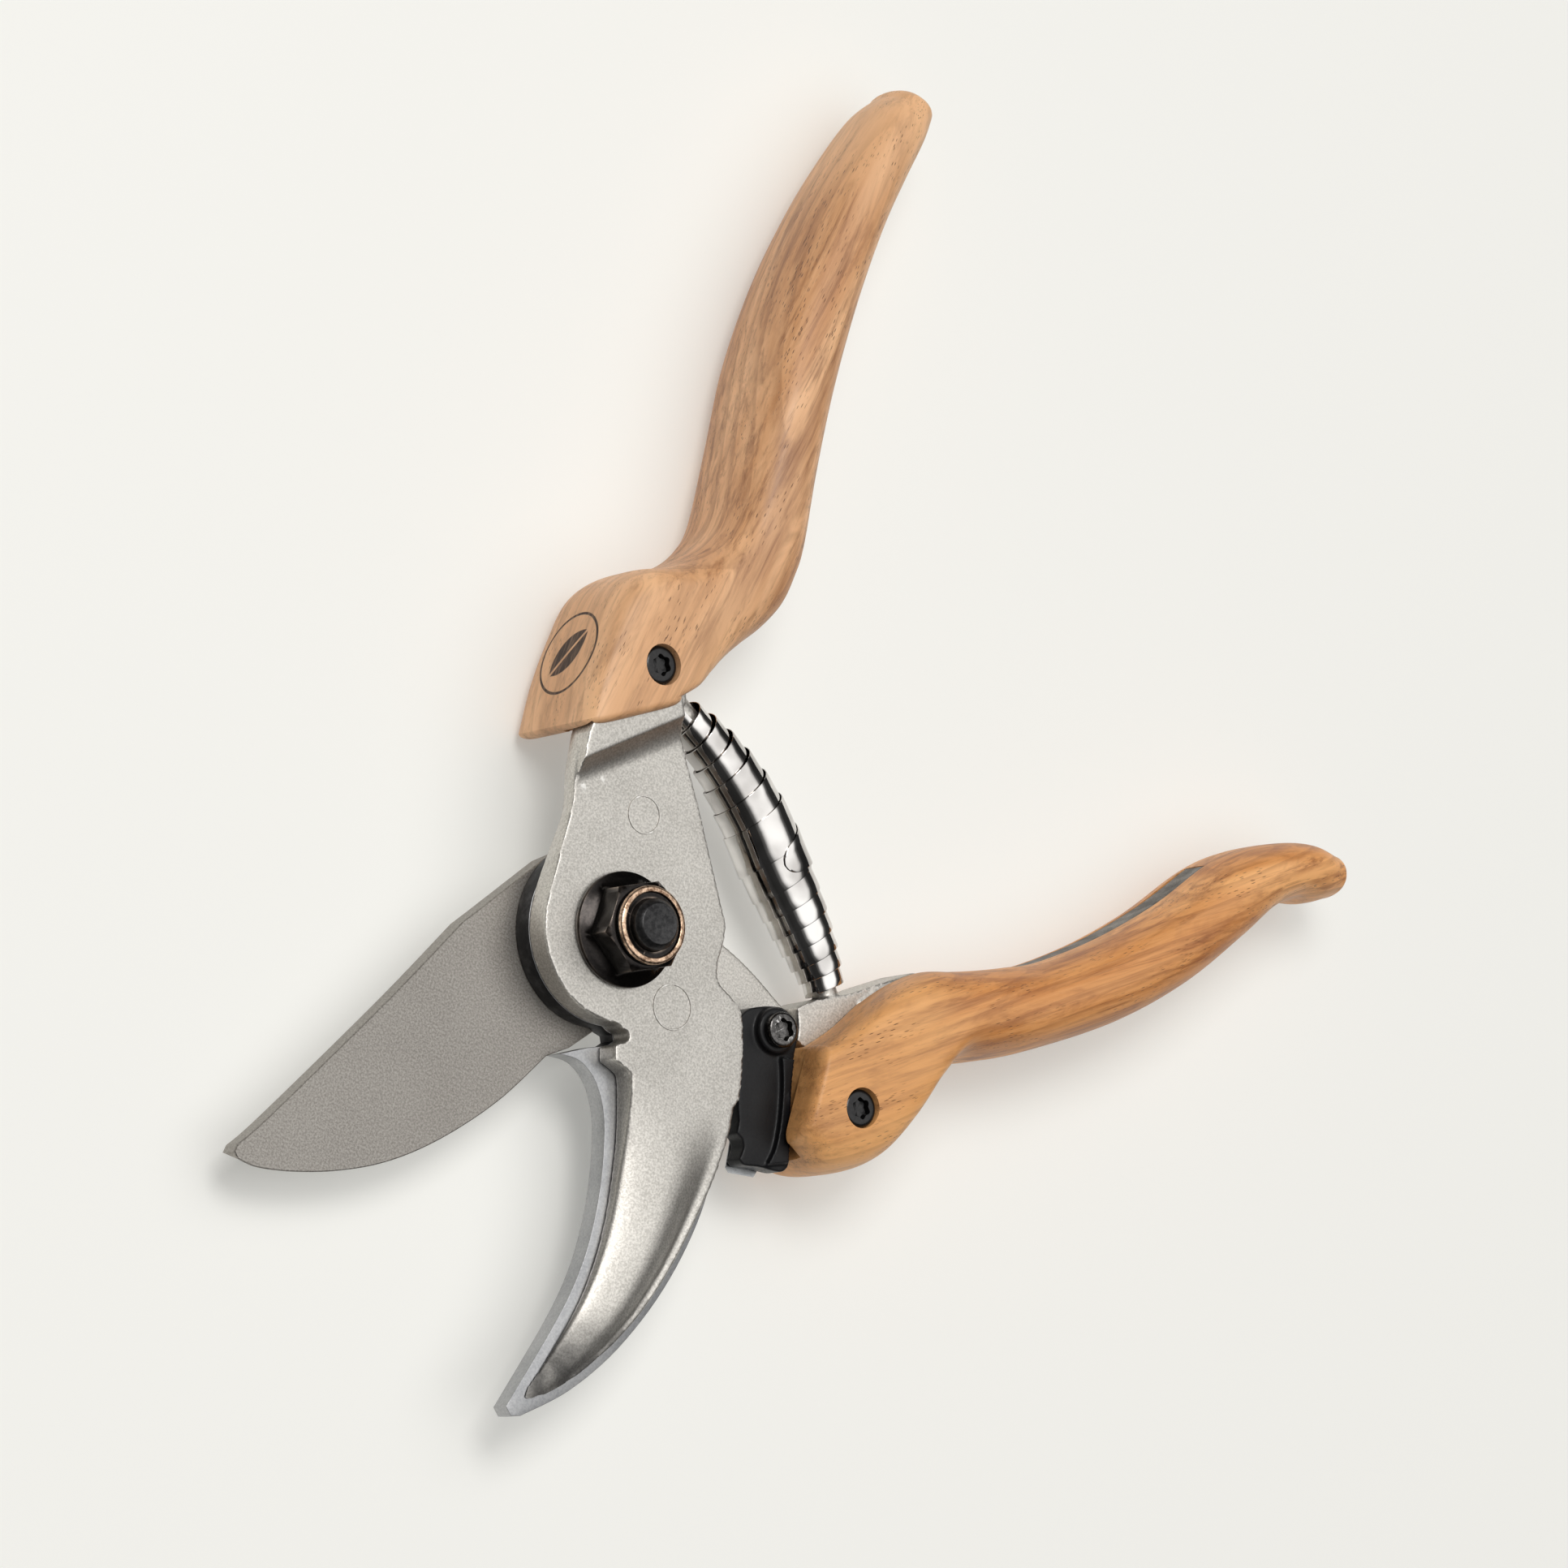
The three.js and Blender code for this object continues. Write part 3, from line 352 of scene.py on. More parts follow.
# ---------------------------------------------------------------- material graphs
class Graph:
    """A small helper for node materials."""

    def __init__(self, name):
        self.material = bpy.data.materials.new(name)
        self.material.use_nodes = True
        self.tree = self.material.node_tree
        self.tree.nodes.clear()
        self.out = self.tree.nodes.new("ShaderNodeOutputMaterial")
        self.shader = self.tree.nodes.new("ShaderNodeBsdfPrincipled")
        self.link(self.shader.outputs[0], self.out.inputs[0])

    def link(self, source, target):
        self.tree.links.new(source, target)

    def put(self, socket, value):
        if isinstance(value, bpy.types.NodeSocket):
            self.link(value, socket)
        elif isinstance(value, (tuple, list)) and len(value) == 3 and socket.type == "RGBA":
            socket.default_value = (*value, 1)
        else:
            socket.default_value = value

    def set(self, **values):
        for key, value in values.items():
            self.put(self.shader.inputs[key.replace("_", " ")], value)

    def coordinates(self):
        return self.tree.nodes.new("ShaderNodeTexCoord").outputs["Object"]

    def mapped(self, vector, scale=(1, 1, 1), angle=0, offset=(0, 0, 0)):
        node = self.tree.nodes.new("ShaderNodeMapping")
        self.link(vector, node.inputs["Vector"])
        node.inputs["Scale"].default_value = scale
        node.inputs["Rotation"].default_value = (0, 0, angle)
        node.inputs["Location"].default_value = offset
        return node.outputs[0]

    def noise(self, vector, scale, detail=2.0, rough=0.5, warp=0.0):
        node = self.tree.nodes.new("ShaderNodeTexNoise")
        self.link(vector, node.inputs["Vector"])
        node.inputs["Scale"].default_value = scale
        node.inputs["Detail"].default_value = detail
        node.inputs["Roughness"].default_value = rough
        node.inputs["Distortion"].default_value = warp
        return node.outputs["Fac"]

    def cells(self, vector, scale):
        node = self.tree.nodes.new("ShaderNodeTexVoronoi")
        self.link(vector, node.inputs["Vector"])
        node.inputs["Scale"].default_value = scale
        return node.outputs["Distance"]

    def math(self, kind, a, b=0.0, c=None, clamp=False):
        node = self.tree.nodes.new("ShaderNodeMath")
        node.operation = kind
        node.use_clamp = clamp
        self.put(node.inputs[0], a)
        self.put(node.inputs[1], b)
        if c is not None:
            self.put(node.inputs[2], c)
        return node.outputs[0]

    def length(self, a, b):
        """The length of the flat vector (a, b)."""
        squares = [self.math("MULTIPLY", v, v) for v in (a, b)]
        return self.math("SQRT", self.math("ADD", *squares))

    def fit(self, value, low, high, to_low=0.0, to_high=1.0):
        """Maps the range low to high smoothly onto to_low to to_high."""
        node = self.tree.nodes.new("ShaderNodeMapRange")
        node.clamp = True
        node.interpolation_type = "SMOOTHSTEP"
        self.link(value, node.inputs["Value"])
        node.inputs["From Min"].default_value = low
        node.inputs["From Max"].default_value = high
        node.inputs["To Min"].default_value = to_low
        node.inputs["To Max"].default_value = to_high
        return node.outputs[0]

    def mix(self, amount, a, b):
        node = self.tree.nodes.new("ShaderNodeMix")
        node.data_type = "RGBA"
        self.put(node.inputs[0], amount)
        self.put(node.inputs[6], a)
        self.put(node.inputs[7], b)
        return node.outputs[2]

    def split(self, vector):
        node = self.tree.nodes.new("ShaderNodeSeparateXYZ")
        self.link(vector, node.inputs[0])
        return node.outputs

    def bump(self, height, depth, strength=1.0):
        """Relief of the given depth in millimetres."""
        node = self.tree.nodes.new("ShaderNodeBump")
        node.inputs["Strength"].default_value = strength
        node.inputs["Distance"].default_value = depth * MM
        self.link(height, node.inputs["Height"])
        return node.outputs[0]

    def edges(self, low=0.52, high=0.62):
        """How much of an outer edge a point is, 0 to 1; it places worn edges, which on metal also paint a
        highlight.
        """
        node = self.tree.nodes.new("ShaderNodeNewGeometry")
        return self.fit(node.outputs["Pointiness"], low, high)


def metal(name, dark, light, rough, grain, speckle, depth, metallic=1.0, edge=None, edge_rough=0.25,
          smear=0.06, coat=0.0, painted_shade=None):
    """Blasted, cast or blackened metal: grain in colour, gloss and relief.

    edge is the colour of its worn edges, if it has them, which also paints a highlight along them, and the
    last argument is a function that says where shade is painted on it.
    """
    g = Graph(name)
    at = g.coordinates()
    fine = g.noise(at, grain, 3.0, 0.65)
    grit = g.noise(at, grain * 2.7, 2.0, 0.6)
    broad = g.noise(at, 90, 3.0, 0.55)
    tone = g.math("ADD", g.math("MULTIPLY", g.fit(fine, 0.32, 0.68), speckle),
                  g.math("MULTIPLY", g.fit(broad, 0.3, 0.7), 1 - speckle))
    colour = g.mix(tone, dark, light)
    gloss = g.math("ADD", rough, g.math("MULTIPLY", g.math("SUBTRACT", grit, 0.5), 0.22))
    gloss = g.math("ADD", gloss, g.math("MULTIPLY", g.math("SUBTRACT", broad, 0.5), smear * 2))
    # Worn edges, lighter in colour: partly wear, partly a painted highlight along the edges.
    if edge:
        worn = g.math("MULTIPLY", g.edges(), g.fit(g.noise(at, 700, 3.0), 0.3, 0.6))
        colour = g.mix(worn, colour, edge)
        gloss = g.math("MULTIPLY_ADD", worn, g.math("SUBTRACT", edge_rough, gloss), gloss, clamp=True)
    # Painted shade: a near-black colour, rougher too, where the given function says shade falls.
    if painted_shade:
        shade_mask = painted_shade(g, at)
        colour = g.mix(shade_mask, colour, (0.03, 0.03, 0.032))
        gloss = g.math("ADD", gloss, g.math("MULTIPLY", shade_mask, 0.2), clamp=True)
    g.set(Base_Color=colour, Metallic=metallic, Roughness=gloss,
          Normal=g.bump(g.math("ADD", fine, g.math("MULTIPLY", grit, 0.5)), depth))
    g.shader.inputs["Coat Weight"].default_value = coat
    g.shader.inputs["Coat Roughness"].default_value = 0.2
    return g.material


RINGS_PER_METRE = 380


def wood(name, pale, middle, deep, heading, lift, figured, pores=1.0, seed=0.0, mark=None):
    """Oiled hardwood along the heading (radians).

    lift lightens its head and its tip, figured mottles it, seed moves it through the grain, and mark is a
    function that says where it is burnt.
    """
    g = Graph(name)
    at = g.coordinates()
    turned = g.mapped(at, angle=-heading)
    place = g.split(turned)[0]
    along = g.mapped(turned, offset=(seed, seed * 0.7, 0))
    wander = g.noise(g.mapped(along, (14, 45, 45)), 1.0, 2.0)
    parts = g.split(along)
    height = g.math("ADD", parts[1], g.math("MULTIPLY", wander, 0.009))
    depth = g.math("ADD", parts[2], 0.034)
    ring = g.math("FRACT", g.math("MULTIPLY", g.length(height, depth), RINGS_PER_METRE))
    late = g.math("MULTIPLY", g.fit(ring, 0.45, 0.93), g.fit(ring, 1.0, 0.94))
    broad = g.noise(g.mapped(along, (13, 120, 120)), 1.0, 3.0, 0.55, 0.4)
    fibre = g.noise(g.mapped(along, (70, 1500, 1500)), 1.0, 4.0, 0.62)
    streak = g.noise(g.mapped(along, (34, 640, 640)), 1.0, 4.0, 0.68, 0.5)
    specks = g.cells(g.mapped(along, (420, 3300, 3300)), 1.0)
    patch = g.fit(g.noise(g.mapped(along, (60, 240, 240)), 1.0, 3.0), 0.42, 0.66)
    pore = g.math("MULTIPLY", g.fit(specks, 0.28, 0.12), g.math("MULTIPLY", patch, pores), clamp=True)
    figure = g.fit(g.noise(g.mapped(along, (55, 210, 210)), 1.0, 4.0, 0.7, 0.6), 0.44, 0.7)
    head_lift = g.fit(place, 0.048, 0.062, lift[0], 0.0)
    tip_lift = g.fit(place, 0.118, 0.145, 0.0, lift[1])
    light = g.math("MAXIMUM", head_lift, tip_lift)
    shade = g.math("MULTIPLY", g.fit(broad, 0.32, 0.62), g.math("MULTIPLY_ADD", light, -0.6, 1.0))
    colour = g.mix(shade, pale, middle)
    brown = g.math("MULTIPLY", g.fit(streak, 0.47, 0.7), g.math("MULTIPLY_ADD", light, -0.35, 0.75))
    colour = g.mix(brown, colour, deep)
    colour = g.mix(g.math("MULTIPLY", late, g.math("MULTIPLY_ADD", light, -0.2, 0.36)), colour, deep)
    colour = g.mix(g.math("MULTIPLY", figure, figured), colour, deep)
    colour = g.mix(g.fit(fibre, 0.4, 0.75, 0.0, 0.36), colour, pale)
    lighter = (min(0.98, pale[0] * 1.2), pale[1] * 1.12, pale[2] * 1.12)
    colour = g.mix(g.math("MULTIPLY", light, 0.45), colour, lighter)
    colour = g.mix(g.math("MULTIPLY", pore, 0.85), colour, tuple(c * 0.3 for c in deep))
    rough = g.fit(fibre, 0.3, 0.7, 0.42, 0.58)
    relief = g.math("SUBTRACT", g.math("MULTIPLY", fibre, 0.5), pore)
    if mark:
        burnt = mark(g, at)
        burnt = g.math("MULTIPLY", burnt, g.fit(fibre, 0.2, 0.6, 0.72, 1.0))
        colour = g.mix(burnt, colour, (0.045, 0.022, 0.012))
        rough = g.math("ADD", rough, g.math("MULTIPLY", burnt, 0.2), clamp=True)
        relief = g.math("SUBTRACT", relief, g.math("MULTIPLY", burnt, 1.5))
    g.set(Base_Color=colour, Roughness=rough, Normal=g.bump(relief, 0.07, 0.8))
    g.shader.inputs["Coat Weight"].default_value = 0.12
    g.shader.inputs["Coat Roughness"].default_value = 0.35
    return g.material


BADGE_Y = 38.9


def leaf_in_ring(g, at):
    """A generic burnt badge on the side of the head: a plain ring round a pointed leaf with a midrib."""
    x, y, z = g.split(at)
    across = g.math("MULTIPLY", g.math("SUBTRACT", y, BADGE_Y * MM), 1000)
    up = g.math("MULTIPLY", g.math("SUBTRACT", z, GRIP_MIDDLE * MM), 1000)

    def distance(a, b):
        return g.length(g.math("SUBTRACT", across, a), g.math("SUBTRACT", up, b))

    reach = distance(0, 0)
    rim = g.math("MULTIPLY", g.fit(reach, 6.5, 6.65), g.fit(reach, 7.1, 6.95))
    lobes = [g.fit(distance(side * 2.3, side * -2.3), 6.05, 5.85) for side in (-1, 1)]
    leaf = g.math("MULTIPLY", *lobes)
    slant = g.math("ABSOLUTE", g.math("SUBTRACT", across, up))
    leaf = g.math("MULTIPLY", leaf, g.fit(slant, 0.2, 0.5))
    badge = g.math("MAXIMUM", rim, leaf)
    return g.math("MULTIPLY", badge, g.fit(x, -15.0 * MM, -16.0 * MM))


def bright_strip(name):
    """Polished spring strip with fine lines from rolling."""
    g = Graph(name)
    at = g.coordinates()
    line = g.noise(g.mapped(at, (900, 900, 4200)), 1.0, 3.0, 0.6)
    broad = g.noise(at, 160, 2.0)
    colour = g.mix(g.fit(broad, 0.3, 0.7), (0.46, 0.44, 0.425), (0.74, 0.72, 0.70))
    g.set(Base_Color=colour, Metallic=1.0, Roughness=g.fit(line, 0.3, 0.7, 0.045, 0.09),
          Normal=g.bump(line, 0.0015, 0.5))
    return g.material


def moulded(name, colour, lift, rough):
    """Black moulded or coated part: fine pebble, slightly greyed edges."""
    g = Graph(name)
    at = g.coordinates()
    pebble = g.noise(at, 2400, 3.0, 0.6)
    broad = g.noise(at, 140, 2.0)
    worn = g.math("MULTIPLY", g.edges(0.52, 0.60), g.fit(g.noise(at, 500, 2.0), 0.35, 0.65))
    tone = g.mix(g.fit(broad, 0.3, 0.7), colour, lift)
    g.set(Base_Color=g.mix(g.math("MULTIPLY", worn, 0.6), tone, tuple(c * 3.2 for c in lift)),
          Roughness=g.fit(pebble, 0.3, 0.7, rough - 0.07, rough + 0.09), Normal=g.bump(pebble, 0.018))
    g.shader.inputs["Specular IOR Level"].default_value = 0.22
    return g.material


def hub_painted_shade(g, at):
    """Painted shade on the upright rim round the pivot, between the two sides: darker on steep walls near the
    pivot, in patches.
    """
    x, y, _ = g.split(at)
    near_pivot = g.fit(g.length(x, y), 20 * MM, 16.5 * MM)
    normal = g.split(g.tree.nodes.new("ShaderNodeNewGeometry").outputs["Normal"])
    rim = g.fit(g.math("ABSOLUTE", normal[2]), 0.8, 0.4)
    worn = g.fit(g.noise(at, 400, 3.0), 0.2, 0.6, 0.75, 0.95)
    return g.math("MULTIPLY", g.math("MULTIPLY", rim, worn), near_pivot)


def tang_painted_shade(g, at):
    """Painted shade on the strips that show in the slot between the halves of the wood: darker from 56 mm out
    from the pivot, in patches.
    """
    x, y, _ = g.split(at)
    in_wood = g.fit(g.length(x, y), 56 * MM, 66 * MM)
    return g.math("MULTIPLY", in_wood, g.fit(g.noise(at, 300, 3.0), 0.2, 0.7, 0.5, 0.8))


# Edge colours in these metals mark worn edges and also paint a highlight along them. The aluminium gets
# painted shade on the tangs in the wood, and the ground steel gets it on the rim round the pivot.
ALUMINIUM = metal("cast_aluminium", (0.44, 0.42, 0.387), (0.73, 0.703, 0.658), 0.46, 2900, 0.78, 0.032,
                  edge=(0.84, 0.82, 0.785), edge_rough=0.32, smear=0.03, painted_shade=tang_painted_shade)
COUNTER_STEEL = metal("ground_steel", (0.29, 0.295, 0.305), (0.46, 0.46, 0.465), 0.36, 2600, 0.5, 0.012,
                      painted_shade=hub_painted_shade)
BLADE_STEEL = metal("blasted_steel", (0.262, 0.242, 0.222), (0.45, 0.426, 0.392), 0.52, 3000, 0.86, 0.03,
                    smear=0.02)
BLACK_STEEL = metal("blackened_steel", (0.008, 0.007, 0.007), (0.028, 0.024, 0.022), 0.22, 1900, 0.5, 0.01,
                    metallic=0.9, edge=(0.50, 0.40, 0.33), edge_rough=0.22, coat=0.06)
BOLT_STEEL = metal("bolt_steel", (0.022, 0.022, 0.023), (0.075, 0.074, 0.075), 0.4, 1500, 0.6, 0.012)
SOCKET_STEEL = metal("socket_steel", (0.006, 0.006, 0.007), (0.022, 0.021, 0.021), 0.2, 1900, 0.5, 0.008,
                     metallic=0.7, coat=0.25)
SCREW_STEEL = metal("worn_screw", (0.035, 0.033, 0.033), (0.16, 0.155, 0.15), 0.24, 1700, 0.6, 0.01,
                    edge=(0.55, 0.54, 0.53), edge_rough=0.2)
ZINC_STEEL = metal("zinc_steel", (0.42, 0.43, 0.44), (0.62, 0.63, 0.64), 0.33, 1900, 0.4, 0.01)
BRONZE = metal("worn_bronze", (0.14, 0.075, 0.045), (0.92, 0.66, 0.47), 0.3, 1100, 0.85, 0.04)
SPRING_STEEL = bright_strip("spring_strip")
BLACK_PLASTIC = moulded("black_lever", (0.006, 0.006, 0.007), (0.012, 0.012, 0.013), 0.36)
PALE_WOOD = wood("pale_wood", (0.90, 0.525, 0.28), (0.62, 0.30, 0.13), (0.25, 0.095, 0.037),
                 math.radians(80), (0.45, 0.8), 0.45, 1.0, 0.0, leaf_in_ring)
WARM_WOOD = wood("warm_wood", (0.97, 0.505, 0.20), (0.70, 0.29, 0.084), (0.28, 0.083, 0.023),
                 math.radians(38), (0.42, 0.0), 0.5, 0.9, 0.31)


# ---------------------------------------------------------------- grips
def grip_ring(left, right, half, squareness, count, softest):
    """One section of a grip; softest limits how square its left side may be."""
    ring = []
    for i in range(count):
        angle = 2 * math.pi * (i + 0.5) / count
        power = 2 / (squareness if math.cos(angle) > 0 else min(squareness, softest))

        def rounded(v):
            return math.copysign(abs(v) ** power, v)

        across = 0.5 + 0.5 * rounded(math.cos(angle))
        ring.append((
            left[0] + (right[0] - left[0]) * across,
            left[1] + (right[1] - left[1]) * across,
            GRIP_MIDDLE - half * rounded(math.sin(angle)),
        ))
    return ring


def pulled_in(rib, inset, reach, thin, neighbour):
    """A rib pulled in towards its own middle and moved away from its neighbour."""
    left, right, half, square = rib
    a, b = Vector(left), Vector(right)
    unit = (b - a).normalized()
    away = Vector((-unit.y, unit.x))
    if away.dot(Vector(neighbour[0]) - a) > 0:
        away.negate()
    away *= reach
    return (tuple(a + unit * inset + away), tuple(b - unit * inset + away), half - thin, square)


def grip_body(name, ribs, facet, lead, end, softest=6, count=72, steps=9):
    """Lofts a grip; facet = how far the head's front edges are cut back, end = reach of the rounded end."""
    lefts = curve([r[0] for r in ribs], steps)
    rights = curve([r[1] for r in ribs], steps)
    rest = curve([(r[2], r[3]) for r in ribs], steps)
    rings = [(a, b, h, s) for a, b, (h, s) in zip(lefts, rights, rest)]
    start, corners = [], 7
    for k in range(corners + 1):
        t = math.pi / 2 * k / corners
        inset = facet[0] * (1 - math.sin(t))
        thin = facet[1] * (1 - math.sin(t))
        start.append(pulled_in(rings[0], inset, lead * math.cos(t), thin, rings[1]))
    final, tip = rings[-1], []
    width = (Vector(final[1]) - Vector(final[0])).length / 2
    for k in range(1, 9):
        t = math.pi / 2 * k / 8.4
        close = 1 - math.cos(t)
        tip.append(pulled_in(final, width * close, end * math.sin(t), final[2] * close, rings[-2]))
    return skin(name, [grip_ring(*r, count, softest) for r in start + rings + tip])


def tang_line(ribs, first, last):
    return curve([r[1] for r in ribs[first:last]], 8)


def screw_room(centre):
    return lathe("room", [
        (3.55, -1), (3.55, 1.95), (SLEEVE_BORE, 1.95), (SLEEVE_BORE, 8.4), (SCREW_BORE, 8.4),
        (SCREW_BORE, 19.65), (3.08, 19.65), (3.08, 21.5), (3.22, 21.9), (3.4, 24),
    ], centre, 48)


UPPER_TANG = tang_line(UPPER_RIBS, 1, 12)
LOWER_TANG = tang_line(LOWER_RIBS, 2, 12)

upper = grip_body("upper_grip_wood", UPPER_RIBS, (2.0, 2.0), 1.3, 3.0)
cut(
    upper,
    plate("mouth", [(-17.8, 20), (4, 30), (-2.8, 37.8), (-3.2, 44.5), (-16.8, 38.4), (-17.8, 25.2)],
          COUNTER_TOP - CLEARANCE, PAD_TOP + CLEARANCE),
    plate("root", [(-17.0, 20), (4, 26), (0.2, 37.2), (1, 44), (2.8, 48.9), (-7, 50.3), (-15.4, 44.2)],
          TANG_LOW - CLEARANCE, PAD_TOP - 0.85),
    plate("lug", [(-9, 20), (6, 26), (5, 40), (2.2, 42.6), (-9, 41.4)], 7.4, COUNTER_TOP),
    plate("slot", band(UPPER_TANG, 3, -TANG_DEPTH - CLEARANCE), TANG_LOW - CLEARANCE, TANG_HIGH + CLEARANCE),
    screw_room(UPPER_SCREW),
)
piece(upper, "upper_grip_wood", "counter_side", PALE_WOOD, "pale_wood", "upper_grip", angle=40)

lower = grip_body("lower_grip_wood", LOWER_RIBS, (2.2, 2.1), 1.2, 2.4, softest=3.3)
cut(
    lower,
    plate("arm", [(-2, 12), (16, 9.9), (29.4, 7), (36.2, 4.3), (39.2, 3.2), (44.6, 1.2), (51, -1.8),
                  (53.2, -12.1), (48, -17.4), (43, -18.4), (37, -16.8), (20, -13.6), (-2, -13)],
          BACK_BOTTOM - CLEARANCE, BLADE_TOP + CLEARANCE),
    plate("neck", [(30, 3.1), (36, 20), (51, 24), (57.3, 18.4), (58.7, 13.9), (54.3, 6), (53.3, -12.1),
                   (47.4, -15.8), (44, -14.3), (43.1, -2.55), (36, -1.5)], BACK_BOTTOM + 1.85, 13.35),
    plate("slot", band(LOWER_TANG, -3, TANG_DEPTH + CLEARANCE), TANG_LOW - CLEARANCE, TANG_HIGH + CLEARANCE),
    plate("latch_side", [(36, -24), (36, -1), (39.6, -1.6), (39.9, -6.9), (40.8, -10.8), (43.1, -17.2),
                         (44.3, -20.4), (44.3, -24)], BLADE_TOP + 0.1, 16.1),
    screw_room(LOWER_SCREW),
)
piece(lower, "lower_grip_wood", "blade_side", WARM_WOOD, "warm_wood", "lower_grip", angle=40)


# ---------------------------------------------------------------- hook side
FRONT_OUTLINE = (
    curve(NECK_LEFT, 6) + arc(0, 0, HUB_RADIUS, 183, 286, 40) + NOTCH
    + [(5.2, -19.2), (16.0, -21.5), (26.8, -19.4)] + curve(SHOULDER, 6)
)
COUNTER_OUTLINE = (
    arc(0, 0, HUB_RADIUS, -3, 286, 110) + NOTCH + [(2.7, -17.9)] + curve(CUTTING_EDGE, 6) + [(8.2, -75.5)]
    + curve(HOOK_BACK, 6) + [(27.5, -12.5), (20.0, -6.0)]
)


def hook_belly():
    """The rounded back of the hook: level with the plate at its root, then crowned and falling to the tip."""
    # left foot, right foot, share of the full height, how crowned the section is
    ribs = [
        ((6.6, -13.0), (27.6, -13.0), 1.0, 0.0),
        ((8.0, -18.2), (28.4, -17.4), 1.0, 0.0),
        ((9.6, -22.0), (29.0, -21.4), 0.995, 0.08),
        ((11.0, -26.0), (29.4, -26.6), 0.97, 0.38),
        ((12.6, -31.8), (29.3, -33.0), 0.9, 0.78),
        ((14.2, -41.6), (27.8, -42.4), 0.78, 1.0),
        ((14.4, -49.6), (25.4, -50.6), 0.64, 1.0),
        ((13.6, -56.4), (22.4, -57.4), 0.48, 1.0),
        ((11.8, -63.4), (18.2, -64.2), 0.3, 1.0),
        ((10.2, -68.4), (14.4, -68.9), 0.15, 1.0),
        ((8.6, -72.6), (10.2, -73.0), 0.03, 1.0),
    ]
    section = curve([
        (0, 0.42), (0.03, 0.57), (0.1, 0.71), (0.2, 0.83), (0.32, 0.92), (0.44, 0.98), (0.54, 1.0),
        (0.65, 0.93), (0.76, 0.74), (0.85, 0.52), (0.9, 0.43), (0.94, 0.46), (0.97, 0.5), (1, 0.42),
    ], 3)
    lefts = curve([r[0] for r in ribs], 6)
    rights = curve([r[1] for r in ribs], 6)
    rest = curve([(r[2], r[3]) for r in ribs], 6)
    full = FRONT_TOP - COUNTER_TOP
    rings = []
    for left, right, (height, crown) in zip(lefts, rights, rest):
        def at(across, z):
            return (left[0] + (right[0] - left[0]) * across, left[1] + (right[1] - left[1]) * across, z)
        top = [at(a, COUNTER_TOP + full * height * (1 + (rise - 1) * crown)) for a, rise in section]
        rings.append([at(0, COUNTER_TOP), at(1, COUNTER_TOP)] + top[::-1])
    return skin("belly", rings)


def neck_pad():
    inside = [(-3.2, 37.6), (-5.0, 38.4), (-12.6, 34.6), (-17.0, 30.0), (-17.4, 25.2)]
    foot = [Vector((-15.0, 16.6)), Vector((1.3, 30.8))]
    crest = [Vector((-16.9, 21.0)), Vector((-1.8, 35.1))]
    rings = [[(*p, COUNTER_TOP) for p in foot + inside]]
    for k in range(9):
        t = k / 8
        step = [a.lerp(b, t) for a, b in zip(foot, crest)]
        height = FRONT_TOP - 0.1 + (PAD_TOP - FRONT_TOP + 0.1) * t ** 2.2
        rings.append([(*p, height) for p in step + inside])
    return skin("pad", rings)


def neck_undercut():
    """The neck's left wall leans inwards towards its back edge, and comes upright again at the hub."""
    low, high = COUNTER_TOP - 0.5, FRONT_TOP - 1.0
    rings = []
    for x, y in curve([(-17.6, 28.0)] + NECK_LEFT, 4):
        lean = 1.5 * min(1.0, max(0.05, (y - 1.0) / 12.0))
        outer = x - 2.0
        rings.append([(outer, y, low), (x + lean, y, low), (x - 0.1, y, high), (outer, y, high)])
    return skin("undercut", rings)


def spring_peg(start, towards):
    along = (Vector(towards) - Vector(start)).normalized()
    side = Vector((along.y, -along.x))
    rings = []
    for reach, radius in ((-3.0, 2.1), (3.4, 1.9), (5.0, 1.75), (5.4, 1.4)):
        ring = []
        for i in range(32):
            a = 2 * math.pi * i / 32
            p = Vector(start) + along * reach + side * radius * math.cos(a)
            ring.append((p.x, p.y, GRIP_MIDDLE + radius * math.sin(a)))
        rings.append(ring)
    return skin("peg", rings)


counter = join(
    plate("counter", FRONT_OUTLINE, COUNTER_TOP, FRONT_TOP),
    hook_belly(),
    neck_pad(),
    plate("root", [(-16.4, 27.6), (-3.4, 37.8), (0.6, 44.4), (2.4, 48.6), (-7.0, 50.0), (-15.0, 44.0)],
          TANG_LOW, PAD_TOP - 1),
    plate("tang", band(UPPER_TANG, -0.35, -TANG_DEPTH), TANG_LOW, TANG_HIGH),
    plate("lug", [(-6.0, 33.0), (-1.0, 34.4), (0.3, 36.4), (1.5, 39.4), (0.6, 41.8), (-6.0, 41.0)],
          7.6, COUNTER_TOP + 1),
    spring_peg(SPRING_AXIS[0], SPRING_AXIS[1]),
)
cast(counter, CASTING_VOXEL, 4, 0.35)
cut(counter, neck_undercut())
unite(counter, *[
    lathe("mark", [(r - 0.2, FRONT_TOP - 0.1), (r - 0.1, FRONT_TOP + 0.12), (r + 0.1, FRONT_TOP + 0.12),
                   (r + 0.2, FRONT_TOP - 0.1)], centre, 72, closed=True)
    for r, centre in ((3.5, (12.4, -7.5)), (2.9, (-2.3, 18.3)))
])
cut(counter, bore(BOLT_BORE, 10, 22), bore(SCREW_BORE, 4, 24, UPPER_SCREW, 32))
piece(counter, "counter_body_casting", "counter_side", ALUMINIUM, "aluminium", "counter_body", angle=50)

hook = plate("hook", COUNTER_OUTLINE, COUNTER_BOTTOM, COUNTER_TOP)
bevel(hook, 0.3)
cut(hook, bore(BOLT_BORE, 8, 16))
piece(hook, "counter_blade_plate", "counter_side", COUNTER_STEEL, "counter_steel", "counter_blade", angle=35)


# ---------------------------------------------------------------- screws, bolt and nut
LOBE_DEPTH = 0.2


def star(outer):
    """The radius of a six-lobed socket against the angle."""
    return lambda a: outer * (1 - LOBE_DEPTH * (0.5 - 0.5 * math.cos(6 * a)))


